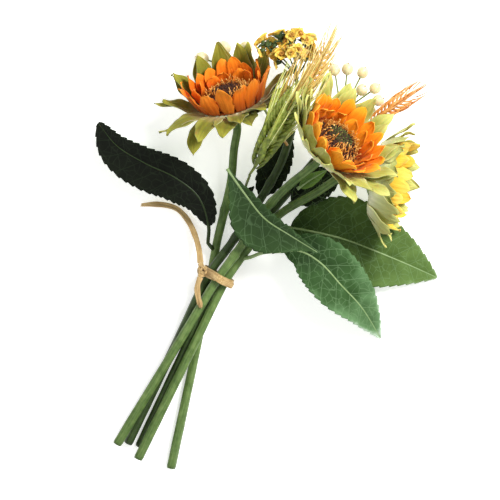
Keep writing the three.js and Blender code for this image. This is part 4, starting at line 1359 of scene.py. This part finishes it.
def makeBlossom(name, centre, toward, radius, rng):
    store = newStore()
    addBlossom(store, centre, toward, radius * 1.5, rng)
    side = toward.cross(Vector((0, 0, 1))).normalized()
    up = side.cross(toward)
    for _ in range(4):
        aside = aimed(side, up, rng.uniform(0, 2 * math.pi))
        aside = (aside + Vector((0, 0, 0.4))).normalized()
        spot = centre + aside * radius * rng.uniform(0.8, 1.3) - toward * radius * rng.uniform(0.2, 1.6)
        addBlossom(store, spot, (toward * 0.5 + aside).normalized(), radius * rng.uniform(0.9, 1.3), rng)
    for _ in range(5):         # small green leaves under the blossoms
        aside = aimed(side, up, rng.uniform(0, 2 * math.pi))
        root = centre - toward * radius * rng.uniform(0.4, 1.5)
        leaning = (aside + toward * rng.uniform(0.1, 0.9)).normalized()
        size = radius * rng.uniform(1.2, 1.9)
        addFloret(store, root, leaning, toward, size, radius * 0.62, 3, rng.random())
    materials = ["blossom", "blossom", "blossomEye", "wire"]
    settle(finishMesh(name, store, materials, sprayBuild["clothThickness"]), name)


def makeSpray(name):
    shape = sprayShape[name]
    rng = random.Random(len(shape["ends"]))
    root, fork = Vector(shape["root"]), Vector(shape["fork"])
    isBerry = shape["label"] != "blossom"
    back = shape["radius"] if isBerry else sprayBuild["blossomBack"]
    store = newStore()
    arched = root.lerp(fork, 0.5) + Vector((0, 0, 0.6))
    trunk = places(evenly(curvePoints([root, arched, fork], 16), 12))
    addTube(store, trunk, [sprayBuild["trunkRadius"]] * 12)
    for k in range(sprayBuild["tapeTurns"]):
        angle = k * 0.9
        near = fork.lerp(root, k / sprayBuild["tapeTurns"] * 0.25)
        out = Vector((math.cos(angle), math.sin(angle), math.sin(angle * 0.5))) * 1.2
        addTube(store, places([near + out * 0.7, near - out * 0.7]), [sprayBuild["tapeRadius"]] * 2, sides=6,
                tone=0.4)
    for i, end in enumerate(shape["ends"]):
        centre = Vector(end)
        toward = (centre - fork).normalized()
        stop = centre - toward * back
        sag = Vector([rng.uniform(-0.6, 0.6) for _ in range(3)])
        twig = places(evenly(curvePoints([fork, fork.lerp(stop, 0.5) + sag, stop], 12), 9))
        addTube(store, twig, [sprayBuild["twigRadius"]] * 9, sides=8, tone=rng.random())
        makeEnd = makeBerry if isBerry else makeBlossom
        makeEnd(f"{shape['label']}_{i + 1}", centre, toward, shape["radius"], rng)
    settle(finishMesh(name, store, ["berryWire" if isBerry else "wire"]), name)


for sprayName in sprayShape:
    makeSpray(sprayName)
print("sprays made:", len(sprayShape))


# floor
floorLook = {
    "colour": "#fbfbfa",
    "half": 3.0,               # metres from its middle to an edge
    "drop": 0.0003,
    "backlight": 0.5,
}


def opalAcrylic(name):
    # a light table's opal acrylic, lit softly from below, so that shadows on it stay faint
    colour = srgb(floorLook["colour"])
    material, tree, shader = newMaterial(name, {
        "Roughness": 0.85, "Base Color": colour, "Emission Color": colour,
        "Emission Strength": floorLook["backlight"]})
    solid = addNode(tree, "TexCoord", output="Object")
    grain = addNode(tree, "TexNoise", inputs={"Vector": solid, "Scale": 900.0, "Detail": 2.0}, output="Fac")
    bump = addNode(tree, "Bump", inputs={"Height": grain, "Strength": 0.05, "Distance": 0.0001}, output=0)
    setInputs(tree, shader, {"Normal": bump})
    return material


half = floorLook["half"]
floorMesh = bpy.data.meshes.new("floor")
floorMesh.from_pydata([(-half, -half, 0), (half, -half, 0), (half, half, 0), (-half, half, 0)], [],
                      [(0, 1, 2, 3)])
floorMesh.materials.append(opalAcrylic("opal_acrylic"))
floor = bpy.data.objects.new("floor", floorMesh)
floor.location.z = -floorLook["drop"]
bpy.context.collection.objects.link(floor)
